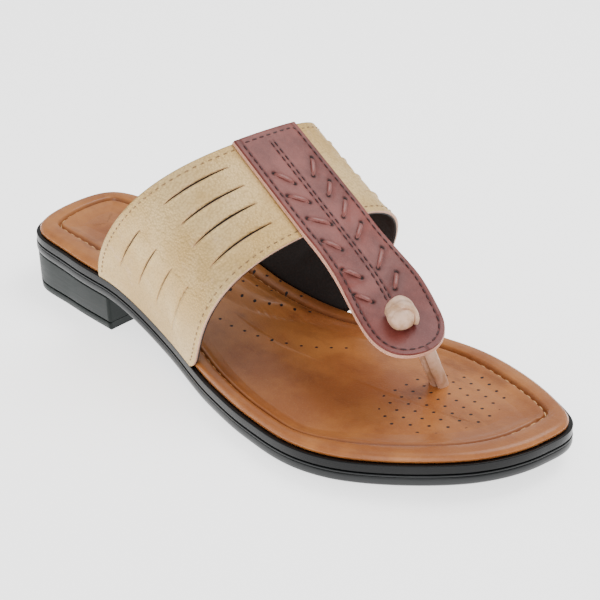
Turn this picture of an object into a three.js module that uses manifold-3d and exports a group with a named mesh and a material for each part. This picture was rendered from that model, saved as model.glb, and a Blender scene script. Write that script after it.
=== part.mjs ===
// Flat sandal for a right foot: a black rubber sole with a low stacked heel, a leather footbed with a rolled
// rim, a slit leather vamp that arches over the instep, and a T strap that runs forward to a knotted toe post.
// Millimetres, +Z up. Worked out with X from the back of the heel to the toe and Y to the inner (medial) side,
// then moved so that the origin is under the middle of the whole sandal.
import * as THREE from 'three';
import { mergeVertices } from 'three/addons/utils/BufferGeometryUtils.js';
import Module from 'manifold-3d';

const wasm = await Module();
wasm.setup();

// Sole sizes
const SOLE_LENGTH = 251;
const BALL_WIDTH = 96;
const HEEL_WIDTH = 60;
const HEEL_RISE = 12.5; // sole edge at the heel breast above the same edge at the ball
const SEAT_RISE = 2.7; // sole edge at the back of the heel above the breast
const TOE_SPRING = 5.2; // lift of the toe end above the ball
const MIDSOLE_HEIGHT = 3.3;
const MIDSOLE_INSET = 0.25;
const OUTSOLE_SIDE_HEIGHT = 4.1;
const OUTSOLE_ROUNDING = 2.1; // height of the rounded lower corner in front of the heel
const HEEL_LENGTH = 64.5;
const BREAST_HOLLOW = 2; // depth of the hollow across the heel breast
const HEEL_INSET = 0.5;
const HEEL_TAPER = 0.5; // how much further in the heel stands at its foot
const TOP_LIFT_HEIGHT = 3;

// Footbed sizes
const LEDGE_WIDTH = 1.9; // black sole edge that shows outside the footbed
const RIM_WIDTH = 10; // from the sole edge to the stitched groove
const RIM_HEIGHT = 3;
const TRAY_DEPTH = 1.8; // how far the footbed sinks into the midsole inside its rim
const TRAY_WALL = 9.5; // from the sole edge to the wall of that tray
const ARCH_CUSHION_HEIGHT = 3.5;
const ARCH_CUSHION_SLOPE = 8; // width over which the cushion rises

// Upper sizes
const FIT = 0.3; // clearance between pieces that are cemented or stitched together
const VAMP_WALL = 1.6; // outer leather and lining together
const INSTEP_HEIGHT = 85.8; // crest of the vamp at its rear edge
const VAMP_FRONT_HEIGHT = 62.7; // crest of the vamp at its front edge
const MARGIN_LENGTH = 5.5; // how far the vamp is turned in under the footbed
const MARGIN_THICKNESS = 1.2; // the turned-in edge is skived thinner
const SLIT_WIDTH = 1.5;
const STRAP_WIDTH = 31;
const STRAP_THICKNESS = 1.8;
const STRAP_REACH = 55.5; // from the front edge of the vamp to the tip of the T strap
const STRAP_DRIFT = 9.6; // how far the tip lies towards the outer side
const STRAP_TIP_HEIGHT = 36.8;
const STRAP_END_ROUND = 13; // length of the round end
const POST_WIDTH = 7;
const POST_THICKNESS = 5.2;
const POST_BOW = 3; // how far the post bulges forward on its way up
const KNOT_WIDTH = 12.4;
const KNOT_DEPTH = 10.4;
const KNOT_HEIGHT = 8.8;

// The vamp's outer face stands this far inside the sole's outline.
const VAMP_INSET = LEDGE_WIDTH - FIT - VAMP_WALL;

// How finely the round forms are divided
const EDGE_STEPS = 5; // between two rows of the outline
const WALL_STEPS = 12; // from one foot of the vamp to its crest
const BAND_SECTIONS = [0, 0.09, 0.285, 0.47, 0.655, 0.87, 1]; // between the rows of slits
const SLIT_STEPS = 7;

// Outline of the sole seen from above, from the back of the heel along the outer side to the toe and back
// along the inner side. across is a share of the sole's width there.
const OUTLINE_TABLE = [
  { along: 0.0, across: 0.018 },
  { along: 0.04, across: -0.442 },
  { along: 0.158, across: -0.52 },
  { along: 0.39, across: -0.435 },
  { along: 0.647, across: -0.5 },
  { along: 0.808, across: -0.486 },
  { along: 0.951, across: -0.213 },
  { along: 1.0, across: 0.083 },
  { along: 0.966, across: 0.329 },
  { along: 0.743, across: 0.503 },
  { along: 0.444, across: 0.348 },
  { along: 0.16, across: 0.482 },
  { along: 0.026, across: 0.363 },
];
const TOE_ROW = 7;

// Height of the top of the black sole edge, as shares of the three rises.
const EDGE_TABLE = [
  { along: 0.0, heel: 1, seat: 1, toe: 0 },
  { along: 0.24, heel: 1, seat: 0, toe: 0 },
  { along: 0.42, heel: 0.34, seat: 0, toe: 0 },
  { along: 0.55, heel: 0, seat: 0, toe: 0 },
  { along: 0.69, heel: 0, seat: 0, toe: 0 },
  { along: 0.8, heel: 0, seat: 0, toe: 0.23 },
  { along: 0.9, heel: 0, seat: 0, toe: 0.57 },
  { along: 1.0, heel: 0, seat: 0, toe: 1 },
];

// Width of the footbed's rim on each side, as a share of RIM_WIDTH.
const RIM_TABLE = [
  { along: 0.0, lateral: 0.9, medial: 0.9 },
  { along: 0.08, lateral: 1.12, medial: 1.0 },
  { along: 0.18, lateral: 1.2, medial: 1.0 },
  { along: 0.4, lateral: 0.82, medial: 0.88 },
  { along: 0.6, lateral: 0.7, medial: 0.86 },
  { along: 0.71, lateral: 0.7, medial: 0.92 },
  { along: 0.82, lateral: 1.0, medial: 0.96 },
  { along: 0.96, lateral: 1.15, medial: 0.86 },
  { along: 1.0, lateral: 1.2, medial: 1.2 },
];

// Side of the outsole from its lower corner to its top. side is a share of its height, corner of the
// rounding under it.
const OUTSOLE_SIDE = [
  { name: 'tread edge', inset: 6, side: 0, corner: 0 },
  { name: 'corner', inset: 2.2, side: 0, corner: 0.55 },
  { name: 'lower lip', inset: 0.35, side: 0.08, corner: 1 },
  { name: 'belly', inset: 0, side: 0.42, corner: 1 },
  { name: 'under the rib', inset: 0.3, side: 0.74, corner: 1 },
  { name: 'groove', inset: 0.7, side: 0.8, corner: 1 },
  { name: 'rib', inset: 0.05, side: 0.86, corner: 1 },
  { name: 'rib top', inset: 0.15, side: 0.97, corner: 1 },
  { name: 'seat', inset: 0.7, side: 1, corner: 1 },
];

// Top of the footbed from its edge over the rolled rim, through the groove and down to the bed.
// rim is a share of the rim's width, rise of the rim's height.
const RIM_PROFILE = [
  { name: 'side', rim: 0, rise: 0.45 },
  { name: 'shoulder', rim: 0.1, rise: 0.8 },
  { name: 'roll', rim: 0.28, rise: 0.98 },
  { name: 'crown', rim: 0.52, rise: 1 },
  { name: 'inner roll', rim: 0.8, rise: 0.88 },
  { name: 'groove', rim: 1, rise: 0.56 },
  { name: 'lip', rim: 1.16, rise: 0.66 },
  { name: 'slope', rim: 1.6, rise: 0.38 },
  { name: 'bed', rim: 2.1, rise: 0.2 },
];
const BED_EDGE = 2.1; // where the bed starts, in rim widths
const BED_CROWN = 0.3; // rise of the middle of the bed, as a share of RIM_HEIGHT

// Shares of the way from a ring of the sole to its spine, for the rings that fill its middle.
const MIDDLE_RINGS = [0.45, 0.94];
const SPINE_ENDS = { from: 0.1, to: 0.89 };

// Edge of the arch cushion, from its back to its front; across is a share of BALL_WIDTH.
const CUSHION_TABLE = [
  { along: 0.26, across: 0.34 },
  { along: 0.31, across: 0.09 },
  { along: 0.376, across: 0.01 },
  { along: 0.446, across: 0.033 },
  { along: 0.497, across: 0.124 },
  { along: 0.531, across: 0.184 },
  { along: 0.578, across: 0.268 },
  { along: 0.62, across: 0.4 },
];

// Crest line of the vamp.
const VAMP_CREST = {
  rear: { along: 0.445, across: 0.092, height: INSTEP_HEIGHT },
  front: { along: 0.598, across: 0.081, height: VAMP_FRONT_HEIGHT },
};

// The vamp's sections: foot is where one stands along the sole, lean is how far it tips outwards there in
// degrees, rise and reach are the pulls of its wall and its top (shares of its height and of half the ball
// width), and sweep is how it runs forward as it climbs.
const VAMP_SIDES = {
  lateral: {
    rear: { foot: 0.24, lean: 18.2, rise: 0.83, reach: 0.935, sweep: 1.29 },
    front: { foot: 0.494, lean: 25.5, rise: 0.89, reach: 0.788, sweep: 0.66 },
  },
  medial: {
    rear: { foot: 0.242, lean: 16.5, rise: 0.86, reach: 0.967, sweep: 0.96 },
    front: { foot: 0.52, lean: 30, rise: 0.89, reach: 0.812, sweep: 0.6 },
  },
};

// Slits on each side: four rows from the rear to the front edge, each with an upper and a lower slit.
// band is the place between the edges, and the ends are shares of the way from foot to crest.
const SLIT_TABLE = [
  { side: -1, band: 0.18, from: 0.48, to: 0.81 },
  { side: -1, band: 0.385, from: 0.475, to: 0.81 },
  { side: -1, band: 0.57, from: 0.455, to: 0.8 },
  { side: -1, band: 0.78, from: 0.46, to: 0.8 },
  { side: -1, band: 0.19, from: 0.105, to: 0.315 },
  { side: -1, band: 0.37, from: 0.1, to: 0.31 },
  { side: -1, band: 0.545, from: 0.095, to: 0.3 },
  { side: -1, band: 0.73, from: 0.065, to: 0.31 },
  { side: 1, band: 0.2, from: 0.35, to: 0.69 },
  { side: 1, band: 0.39, from: 0.355, to: 0.71 },
  { side: 1, band: 0.57, from: 0.355, to: 0.72 },
  { side: 1, band: 0.77, from: 0.365, to: 0.725 },
  { side: 1, band: 0.19, from: 0.06, to: 0.19 },
  { side: 1, band: 0.37, from: 0.06, to: 0.19 },
  { side: 1, band: 0.545, from: 0.06, to: 0.19 },
  { side: 1, band: 0.73, from: 0.06, to: 0.19 },
];

// Free part of the T strap, from the front edge of the vamp to the tip.
const STRAP_TABLE = [
  { reach: 0.4, drift: 0.06, fall: 0.52 },
  { reach: 0.79, drift: 0.87, fall: 0.84 },
  { reach: 1.0, drift: 1.0, fall: 1.0 },
];
const STRAP_REAR_WIDTH = 0.97; // width at the rear edge of the vamp, as a share of STRAP_WIDTH
const STRAP_END_WIDTH = 0.94; // width where the round end begins, as a share of STRAP_WIDTH
const STRAP_TILT = 4; // degrees that the free end is tipped, inner side up
const STRAP_HOLE = 0.63; // place of the post's hole, as a share of the free part

// Path of the toe post from the footbed to the strap's hole.
const POST_FOOT = { along: 0.785, across: 0.158 };
const POST_TABLE = [
  { up: 0.35, aside: 0.33, bow: 0.7 },
  { up: 0.74, aside: 0.68, bow: 1 },
];

// Knot seen from the side, from the strap's face to its top, as shares of its radius and height.
const KNOT_PROFILE = [
  { radius: 0, height: 0 },
  { radius: 0.7, height: 0 },
  { radius: 0.92, height: 0.17 },
  { radius: 1, height: 0.4 },
  { radius: 0.92, height: 0.66 },
  { radius: 0.66, height: 0.88 },
  { radius: 0.3, height: 0.98 },
  { radius: 0, height: 1 },
];

// Values read from the tables

// Value of one column at a place along its table, on a smooth curve that never overshoots its rows.
function columnAt(rows, column, along) {
  const last = rows.length - 1;
  const place = THREE.MathUtils.clamp(along, rows[0].along, rows[last].along);
  let row = 0;
  while (row < last - 1 && place > rows[row + 1].along) {
    row += 1;
  }
  const chord = (k) => (rows[k + 1][column] - rows[k][column]) / (rows[k + 1].along - rows[k].along);
  const slope = (k) => {
    if (k === 0 || k === last) {
      return chord(k === 0 ? 0 : last - 1);
    }
    const before = chord(k - 1);
    const after = chord(k);
    return before * after > 0 ? (2 * before * after) / (before + after) : 0;
  };
  const span = rows[row + 1].along - rows[row].along;
  const t = (place - rows[row].along) / span;
  const bend = t * t * (3 - 2 * t);
  const rise = (rows[row + 1][column] - rows[row][column]) * bend;
  const pull = span * (slope(row) * t * (1 - t) ** 2 - slope(row + 1) * t * t * (1 - t));
  return rows[row][column] + rise + pull;
}

// Values of two rows mixed, from the first at 0 to the second at 1.
function blendRows(first, second, share) {
  const names = Object.keys(first);
  return Object.fromEntries(names.map((name) => [name, THREE.MathUtils.lerp(first[name], second[name], share)]));
}

const FOREFOOT_EDGE = MIDSOLE_HEIGHT + FIT + OUTSOLE_SIDE_HEIGHT + OUTSOLE_ROUNDING;

// Height of the top of the black edge above the floor.
function edgeHeight(x) {
  const along = x / SOLE_LENGTH;
  const heel = HEEL_RISE * columnAt(EDGE_TABLE, 'heel', along);
  const seat = SEAT_RISE * columnAt(EDGE_TABLE, 'seat', along);
  const toe = TOE_SPRING * columnAt(EDGE_TABLE, 'toe', along);
  return FOREFOOT_EDGE + heel + seat + toe;
}

// Width of the sole that the outline's shares refer to, from the heel's to the ball's.
function soleWidth(along) {
  return THREE.MathUtils.lerp(HEEL_WIDTH, BALL_WIDTH, THREE.MathUtils.smoothstep(along, 0.16, 0.62));
}

const outlinePoints = OUTLINE_TABLE.map(
  (row) => new THREE.Vector3(row.along * SOLE_LENGTH, row.across * soleWidth(row.along), 0),
);
const outlineCurve = new THREE.CatmullRomCurve3(outlinePoints, true, 'catmullrom', 0.5);
const TOE_TURN = TOE_ROW / OUTLINE_TABLE.length;
const TURNS = Array.from({ length: OUTLINE_TABLE.length * EDGE_STEPS }, (_, i) => i);

// Point of the sole's outline moved inwards; turn goes round the sole from 0 to 1.
function outlineAt(turn, inset) {
  const round = THREE.MathUtils.euclideanModulo(turn, 1);
  const point = outlineCurve.getPoint(round);
  const tangent = outlineCurve.getTangent(round);
  return new THREE.Vector3(point.x - tangent.y * inset, point.y + tangent.x * inset, 0);
}

// Turn at which the moved outline crosses a place along the sole, on one side (-1 outer, 1 inner).
function turnAt(x, side, inset) {
  let low = side < 0 ? 0 : 1;
  let high = TOE_TURN;
  for (let step = 0; step < 26; step += 1) {
    const middle = (low + high) / 2;
    if (outlineAt(middle, inset).x < x) {
      low = middle;
    } else {
      high = middle;
    }
  }
  return (low + high) / 2;
}

// Distance from the sole's outline to the groove of the footbed.
function rimWidth(turn) {
  const side = turn < TOE_TURN ? 'lateral' : 'medial';
  return RIM_WIDTH * columnAt(RIM_TABLE, side, outlineAt(turn, 0).x / SOLE_LENGTH);
}

// Rings, bodies and solids

// Ring of the sole's outline; inset may be a number or a function of the turn, height a function of x.
function soleRing(inset, height) {
  return TURNS.map((i) => {
    const turn = i / TURNS.length;
    const point = outlineAt(turn, typeof inset === 'function' ? inset(turn) : inset);
    point.z = height(point.x);
    return point;
  });
}

// The same ring drawn in towards the spine of the sole.
function drawnIn(ring, share, height, from = SPINE_ENDS.from, to = SPINE_ENDS.to) {
  return ring.map((point) => {
    const x = THREE.MathUtils.clamp(point.x, from * SOLE_LENGTH, to * SOLE_LENGTH);
    const outer = outlineAt(turnAt(x, -1, 0), 0).y;
    const inner = outlineAt(turnAt(x, 1, 0), 0).y;
    const spine = new THREE.Vector3(x, (outer + inner) / 2, 0);
    const moved = point.clone().lerp(spine, share);
    moved.z = height(moved.x, moved.y, share);
    return moved;
  });
}

// Closed body over a stack of rings with equal numbers of points, counter-clockwise seen from above and
// starting at the back of the heel. The stack runs from the middle of the underside, out, up and in again to
// the middle of the top.
function stackBody(rings) {
  const count = rings[0].length;
  const positions = rings.flat().flatMap((point) => point.toArray());
  const index = [];
  for (let level = 0; level < rings.length - 1; level += 1) {
    for (let i = 0; i < count; i += 1) {
      const next = (i + 1) % count;
      const a = level * count + i;
      const b = level * count + next;
      index.push(a, b, b + count, a, b + count, a + count);
    }
  }
  const top = (rings.length - 1) * count;
  for (const [a, b, c] of ladder(count)) {
    index.push(a, c, b, top + a, top + b, top + c);
  }
  return bodyOf(positions, index);
}

// Triangles that fill a ring by rungs from its outer side to its inner side.
function ladder(count) {
  const triangles = [[0, 1, count - 1]];
  for (let i = 1; i < count - i - 1; i += 1) {
    triangles.push([i, i + 1, count - i]);
    if (i + 1 < count - i - 1) {
      triangles.push([i + 1, count - i - 1, count - i]);
    }
  }
  return triangles;
}

// Closed body carried along sections that each hold the same loop of points; both ends are closed by
// triangles between the loop's two halves, which run from one corner to the other and back.
function carriedBody(sections) {
  const count = sections[0].length;
  const half = count / 2;
  const positions = sections.flat().flatMap((point) => point.toArray());
  const index = [];
  for (let s = 0; s < sections.length - 1; s += 1) {
    for (let i = 0; i < count; i += 1) {
      const next = (i + 1) % count;
      const a = s * count + i;
      const b = s * count + next;
      index.push(a, b + count, b, a, a + count, b + count);
    }
  }
  const end = (sections.length - 1) * count;
  for (let i = 0; i < half - 1; i += 1) {
    const across = count - 1 - i;
    index.push(i, i + 1, across, i + 1, across - 1, across);
    index.push(end + i, end + across, end + i + 1, end + i + 1, end + across, end + across - 1);
  }
  return bodyOf(positions, index);
}

// Geometry from positions and triangles.
function bodyOf(positions, index) {
  const geometry = new THREE.BufferGeometry();
  geometry.setAttribute('position', new THREE.Float32BufferAttribute(positions, 3));
  geometry.setIndex(index);
  return geometry;
}

// Solid that can be cut and joined, from a closed geometry.
function solidOf(geometry) {
  const bare = geometry.clone();
  bare.deleteAttribute('normal');
  bare.deleteAttribute('uv');
  const merged = mergeVertices(bare, 1e-4);
  const vertProperties = new Float32Array(merged.attributes.position.array);
  const triVerts = new Uint32Array(merged.index.array);
  return new wasm.Manifold(new wasm.Mesh({ numProp: 3, vertProperties, triVerts }));
}

// Geometry of a solid.
function geometryOf(solid) {
  const mesh = solid.getMesh();
  return bodyOf(Array.from(mesh.vertProperties), Array.from(mesh.triVerts));
}

// Sole

const midsoleTop = (x) => edgeHeight(x);
const trayFloor = (x) => edgeHeight(x) - TRAY_DEPTH;
const midsoleBottom = (x) => edgeHeight(x) - MIDSOLE_HEIGHT;
const outsoleTop = (x) => midsoleBottom(x) - FIT;
const heelSeat = (x) => outsoleTop(x) - OUTSOLE_SIDE_HEIGHT;

// Height of the lower corner's rounding, which fades out where the heel stands under the sole.
function cornerHeight(x) {
  return OUTSOLE_ROUNDING * THREE.MathUtils.smoothstep(x, HEEL_LENGTH + 2, HEEL_LENGTH + 26);
}

const treadHeight = (x) => heelSeat(x) - cornerHeight(x);

// Lower tier of the sole, with its rounded lower corner, belly, groove and rib.
function outsole() {
  const tread = soleRing(OUTSOLE_SIDE[0].inset, treadHeight);
  const seat = soleRing(TRAY_WALL, outsoleTop);
  const side = OUTSOLE_SIDE.map((row) => {
    const height = (x) => treadHeight(x) + cornerHeight(x) * row.corner + OUTSOLE_SIDE_HEIGHT * row.side;
    return soleRing(row.inset, height);
  });
  return stackBody([
    drawnIn(tread, MIDDLE_RINGS[1], treadHeight),
    drawnIn(tread, MIDDLE_RINGS[0], treadHeight),
    ...side,
    seat,
    drawnIn(seat, MIDDLE_RINGS[0], outsoleTop),
    drawnIn(seat, MIDDLE_RINGS[1], outsoleTop),
  ]);
}

// Upper tier of the sole: a flat ledge all round and a shallow tray for the footbed inside it.
function midsole() {
  const chamfer = 0.4;
  const under = soleRing(TRAY_WALL, midsoleBottom);
  const tray = soleRing(TRAY_WALL + TRAY_DEPTH, trayFloor);
  return stackBody([
    drawnIn(under, MIDDLE_RINGS[1], midsoleBottom),
    drawnIn(under, MIDDLE_RINGS[0], midsoleBottom),
    under,
    soleRing(MIDSOLE_INSET + chamfer, midsoleBottom),
    soleRing(MIDSOLE_INSET, (x) => midsoleBottom(x) + chamfer),
    soleRing(MIDSOLE_INSET, (x) => midsoleTop(x) - chamfer),
    soleRing(MIDSOLE_INSET + chamfer, midsoleTop),
    soleRing(TRAY_WALL, midsoleTop),
    tray,
    drawnIn(tray, MIDDLE_RINGS[0], trayFloor),
    drawnIn(tray, MIDDLE_RINGS[1], trayFloor),
  ]);
}

// Ring round the heel: the sole's outline behind the breast, and the hollow breast across it.
function heelRing(inset, height) {
  const sideSteps = 17;
  const breastSteps = 8;
  const outerCorner = turnAt(HEEL_LENGTH, -1, inset);
  const innerCorner = turnAt(HEEL_LENGTH, 1, inset);
  const ring = [];
  for (let i = 0; i <= sideSteps; i += 1) {
    ring.push(outlineAt(THREE.MathUtils.lerp(0, outerCorner, i / sideSteps), inset));
  }
  const inner = outlineAt(innerCorner, inset);
  for (let i = 1; i < breastSteps; i += 1) {
    const share = i / breastSteps;
    const point = ring[sideSteps].clone().lerp(inner, share);
    point.x -= BREAST_HOLLOW * (1 - (2 * share - 1) ** 2);
    ring.push(point);
  }
  for (let i = 0; i < sideSteps; i += 1) {
    ring.push(outlineAt(THREE.MathUtils.lerp(innerCorner, 1, i / sideSteps), inset));
  }
  ring.forEach((point) => {
    point.z = height(point.x);
  });
  return ring;
}

// Body of the heel between two heights, tapering towards the floor.
function heelBody(lowHeight, highHeight, lowInset, highInset) {
  const low = heelRing(lowInset, lowHeight);
  const high = heelRing(highInset, highHeight);
  const ends = [SPINE_ENDS.from, (HEEL_LENGTH - RIM_WIDTH) / SOLE_LENGTH];
  return stackBody([drawnIn(low, 0.9, lowHeight, ...ends), low, high, drawnIn(high, 0.9, highHeight, ...ends)]);
}

// Heel block, cut off at its top by the underside of the sole and its clearance.
function heelBlock() {
  const intoSole = OUTSOLE_SIDE_HEIGHT / 2;
  const body = heelBody(
    () => TOP_LIFT_HEIGHT + FIT,
    (x) => heelSeat(x) + intoSole,
    HEEL_INSET + HEEL_TAPER,
    HEEL_INSET,
  );
  const soleRoom = outsole().translate(0, 0, -FIT);
  return geometryOf(solidOf(body).subtract(solidOf(soleRoom)));
}

function heelTopLift() {
  const inset = HEEL_INSET + HEEL_TAPER;
  return heelBody(() => 0, () => TOP_LIFT_HEIGHT, inset + 0.3, inset);
}

// Footbed

const cushionPoints = CUSHION_TABLE.map(
  (row) => new THREE.Vector2(row.along * SOLE_LENGTH, row.across * BALL_WIDTH),
);
const cushionEdge = new THREE.SplineCurve(cushionPoints).getPoints(28);

// Rise of the arch cushion: full inside its edge, nothing outside it, a soft slope between.
function cushionRise(x, y) {
  const inside = x > cushionEdge[0].x && x < cushionEdge[cushionEdge.length - 1].x;
  const ahead = cushionEdge.findIndex((point) => point.x > x);
  const between = inside && ahead > 0;
  const a = between ? cushionEdge[ahead - 1] : cushionEdge[0];
  const b = between ? cushionEdge[ahead] : cushionEdge[1];
  const edgeY = a.y + ((b.y - a.y) * (x - a.x)) / (b.x - a.x);
  const near = Math.min(...cushionEdge.map((point) => Math.hypot(point.x - x, point.y - y)));
  const depth = between && y > edgeY ? near : 0;
  return ARCH_CUSHION_HEIGHT * THREE.MathUtils.smoothstep(depth, 0, ARCH_CUSHION_SLOPE);
}

// Height of the bed inside the rim.
function bedHeight(x, y, share) {
  const edge = RIM_PROFILE[RIM_PROFILE.length - 1].rise;
  return edgeHeight(x) + RIM_HEIGHT * (edge + BED_CROWN * share) + cushionRise(x, y);
}

// Leather footbed with its rolled rim, groove, dished bed and arch cushion, before the cuts under it.
function footbedBody() {
  const low = (x) => midsoleTop(x) + FIT;
  const lowTray = (x) => trayFloor(x) + FIT;
  const under = soleRing(TRAY_WALL + TRAY_DEPTH + FIT, lowTray);
  const rim = RIM_PROFILE.map((row) => {
    const inset = (turn) => LEDGE_WIDTH + (rimWidth(turn) - LEDGE_WIDTH) * row.rim;
    const ring = soleRing(inset, (x) => edgeHeight(x) + RIM_HEIGHT * row.rise);
    ring.forEach((point) => {
      point.z += cushionRise(point.x, point.y) * THREE.MathUtils.smoothstep(row.rim, 1, BED_EDGE);
    });
    return ring;
  });
  const bed = rim[rim.length - 1];
  return stackBody([
    drawnIn(under, MIDDLE_RINGS[1], lowTray),
    drawnIn(under, MIDDLE_RINGS[0], lowTray),
    under,
    soleRing(TRAY_WALL + FIT, low),
    soleRing(LEDGE_WIDTH, low),
    ...rim,
    drawnIn(bed, 0.3, bedHeight),
    drawnIn(bed, 0.62, bedHeight),
    drawnIn(bed, MIDDLE_RINGS[1], bedHeight),
  ]);
}

// Room under the footbed's rim for one turned-in edge of the vamp.
function marginRoom(side) {
  const sections = [];
  const rows = side < 0 ? VAMP_SIDES.lateral : VAMP_SIDES.medial;
  const steps = 14;
  const slack = 2 * FIT;
  for (let i = 0; i <= steps; i += 1) {
    const from = rows.rear.foot * SOLE_LENGTH - slack;
    const to = rows.front.foot * SOLE_LENGTH + slack;
    const turn = turnAt(THREE.MathUtils.lerp(from, to, i / steps), side, 0);
    const corner = (inset, rise) => {
      const point = outlineAt(turn, inset);
      point.z = edgeHeight(point.x) + rise;
      return point;
    };
    const deep = VAMP_INSET + MARGIN_LENGTH + FIT;
    const high = FIT + MARGIN_THICKNESS + FIT;
    sections.push([corner(0, 0), corner(deep, 0), corner(deep, high), corner(0, high)]);
  }
  return carriedBody(side < 0 ? sections.reverse() : sections);
}

// Vamp

// Point of the vamp's outer face. across runs from -1 at the outer foot over 0 at the crest to 1 at the
// inner foot, and band from 0 at the rear edge to 1 at the front edge.
function vampPoint(across, band) {
  const side = across < 0 ? -1 : 1;
  const rows = side < 0 ? VAMP_SIDES.lateral : VAMP_SIDES.medial;
  const row = blendRows(rows.rear, rows.front, band);
  const crest = blendRows(VAMP_CREST.rear, VAMP_CREST.front, band);
  const foot = vampFoot(side, band);
  const top = new THREE.Vector3(crest.along * SOLE_LENGTH, crest.across * BALL_WIDTH, crest.height);
  const lean = THREE.MathUtils.degToRad(row.lean);
  const pull = row.rise * (top.z - foot.z);
  const wallY = foot.y + side * pull * Math.sin(lean);
  const wallZ = foot.z + pull * Math.cos(lean);
  const topY = top.y + (side * row.reach * BALL_WIDTH) / 2;
  const s = 1 - Math.abs(across);
  const bezier = (a, b, c, d) => a * (1 - s) ** 3 + 3 * b * s * (1 - s) ** 2 + 3 * c * s * s * (1 - s) + d * s ** 3;
  const y = bezier(foot.y, wallY, topY, top.y);
  const z = bezier(foot.z, wallZ, top.z, top.z);
  const climbed = Math.max(z - foot.z, 0) / (top.z - foot.z);
  return new THREE.Vector3(foot.x + (top.x - foot.x) * climbed ** row.sweep, y, z);
}

// Where the vamp's outer face stands on the ledge of the sole.
function vampFoot(side, band) {
  const rows = side < 0 ? VAMP_SIDES.lateral : VAMP_SIDES.medial;
  const x = THREE.MathUtils.lerp(rows.rear.foot, rows.front.foot, band) * SOLE_LENGTH;
  const foot = outlineAt(turnAt(x, side, VAMP_INSET), VAMP_INSET);
  foot.z = edgeHeight(foot.x) + FIT;
  return foot;
}

// Outward direction of the vamp's face.
function vampNormal(across, band) {
  const step = 0.01;
  const left = vampPoint(Math.max(across - step, -1), band);
  const right = vampPoint(Math.min(across + step, 1), band);
  const rear = vampPoint(across, Math.max(band - step, 0));
  const front = vampPoint(across, Math.min(band + step, 1));
  return front.sub(rear).cross(right.sub(left)).normalize();
}

// Point at a height over the vamp's outer face; a negative height lies in or under its wall.
function overVamp(across, band, height) {
  return vampPoint(across, band).addScaledVector(vampNormal(across, band), height);
}

// Loop of one section of the vamp: turned-in edge, outer face, turned-in edge, and back on the inner face.
function vampSection(band) {
  const margin = (side, inset, rise) => {
    const rows = side < 0 ? VAMP_SIDES.lateral : VAMP_SIDES.medial;
    const x = THREE.MathUtils.lerp(rows.rear.foot, rows.front.foot, band) * SOLE_LENGTH;
    const point = outlineAt(turnAt(x, side, VAMP_INSET), VAMP_INSET + inset);
    point.z = edgeHeight(point.x) + FIT + rise;
    return point;
  };
  const places = [];
  for (let i = 1; i < 2 * WALL_STEPS; i += 1) {
    places.push(i / WALL_STEPS - 1);
  }
  const outer = [
    margin(-1, MARGIN_LENGTH, 0),
    margin(-1, 0, 0),
    ...places.map((across) => vampPoint(across, band)),
    margin(1, 0, 0),
    margin(1, MARGIN_LENGTH, 0),
  ];
  const inner = [
    margin(-1, MARGIN_LENGTH, MARGIN_THICKNESS),
    margin(-1, VAMP_WALL, MARGIN_THICKNESS),
    ...places.map((across) => overVamp(across, band, -VAMP_WALL)),
    margin(1, VAMP_WALL, MARGIN_THICKNESS),
    margin(1, MARGIN_LENGTH, MARGIN_THICKNESS),
  ];
  return [...outer, ...inner.reverse()];
}

// Tool that cuts one slit: a slim lens along the arch, from above the outer face to below the inner one.
function slitCutter(row) {
  const clear = 1;
  const sections = [];
  for (let i = 0; i <= SLIT_STEPS; i += 1) {
    const share = i / SLIT_STEPS;
    const across = row.side * (1 - THREE.MathUtils.lerp(row.from, row.to, share));
    const rear = vampPoint(across, row.band - 0.01);
    const front = vampPoint(across, row.band + 0.01);
    const forward = front.sub(rear).normalize();
    const half = 0.5 * SLIT_WIDTH * Math.max(Math.sqrt(1 - (2 * share - 1) ** 2), 0.3);
    const corner = (ahead, height) => overVamp(across, row.band, height).addScaledVector(forward, ahead);
    const deep = -VAMP_WALL - clear;
    sections.push([corner(-half, clear), corner(half, clear), corner(half, deep), corner(-half, deep)]);
  }
  return carriedBody(row.side < 0 ? sections.reverse() : sections);
}

function vamp() {
  let solid = solidOf(carriedBody(BAND_SECTIONS.map(vampSection)));
  SLIT_TABLE.forEach((row) => {
    solid = solid.subtract(solidOf(slitCutter(row)));
  });
  return solid;
}

// T strap

const STRAP_SHARES = [-1, -0.75, -0.5, -0.25, 0, 0.25, 0.5, 0.75, 1];

// Place across the vamp whose outer face lies at a given distance from the middle of the sandal.
function acrossAt(y, band) {
  let low = -0.6;
  let high = 0.6;
  for (let step = 0; step < 24; step += 1) {
    const middle = (low + high) / 2;
    if (vampPoint(middle, band).y < y) {
      low = middle;
    } else {
      high = middle;
    }
  }
  return (low + high) / 2;
}

// Section of the strap where it lies on the vamp: points of its top face, and the directions away from it.
function strapOnVamp(band) {
  const width = STRAP_WIDTH * THREE.MathUtils.lerp(STRAP_REAR_WIDTH, 1, band);
  const crest = blendRows(VAMP_CREST.rear, VAMP_CREST.front, band);
  return STRAP_SHARES.map((share) => {
    const across = acrossAt(crest.across * BALL_WIDTH + (share * width) / 2, band);
    const normal = vampNormal(across, band);
    return { top: vampPoint(across, band).addScaledVector(normal, FIT + STRAP_THICKNESS), normal };
  });
}

const strapJoint = strapOnVamp(1);
const strapMiddle = (STRAP_SHARES.length - 1) / 2;
const jointTop = strapJoint[strapMiddle].top;
const beforeJoint = strapOnVamp(0.5)[strapMiddle].top;
const strapPath = new THREE.CatmullRomCurve3([
  beforeJoint,
  jointTop,
  ...STRAP_TABLE.map((row) => {
    const drop = (jointTop.z - STRAP_TIP_HEIGHT) * row.fall;
    return new THREE.Vector3(
      jointTop.x + STRAP_REACH * row.reach,
      jointTop.y - STRAP_DRIFT * row.drift,
      jointTop.z - drop,
    );
  }),
]);

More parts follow.
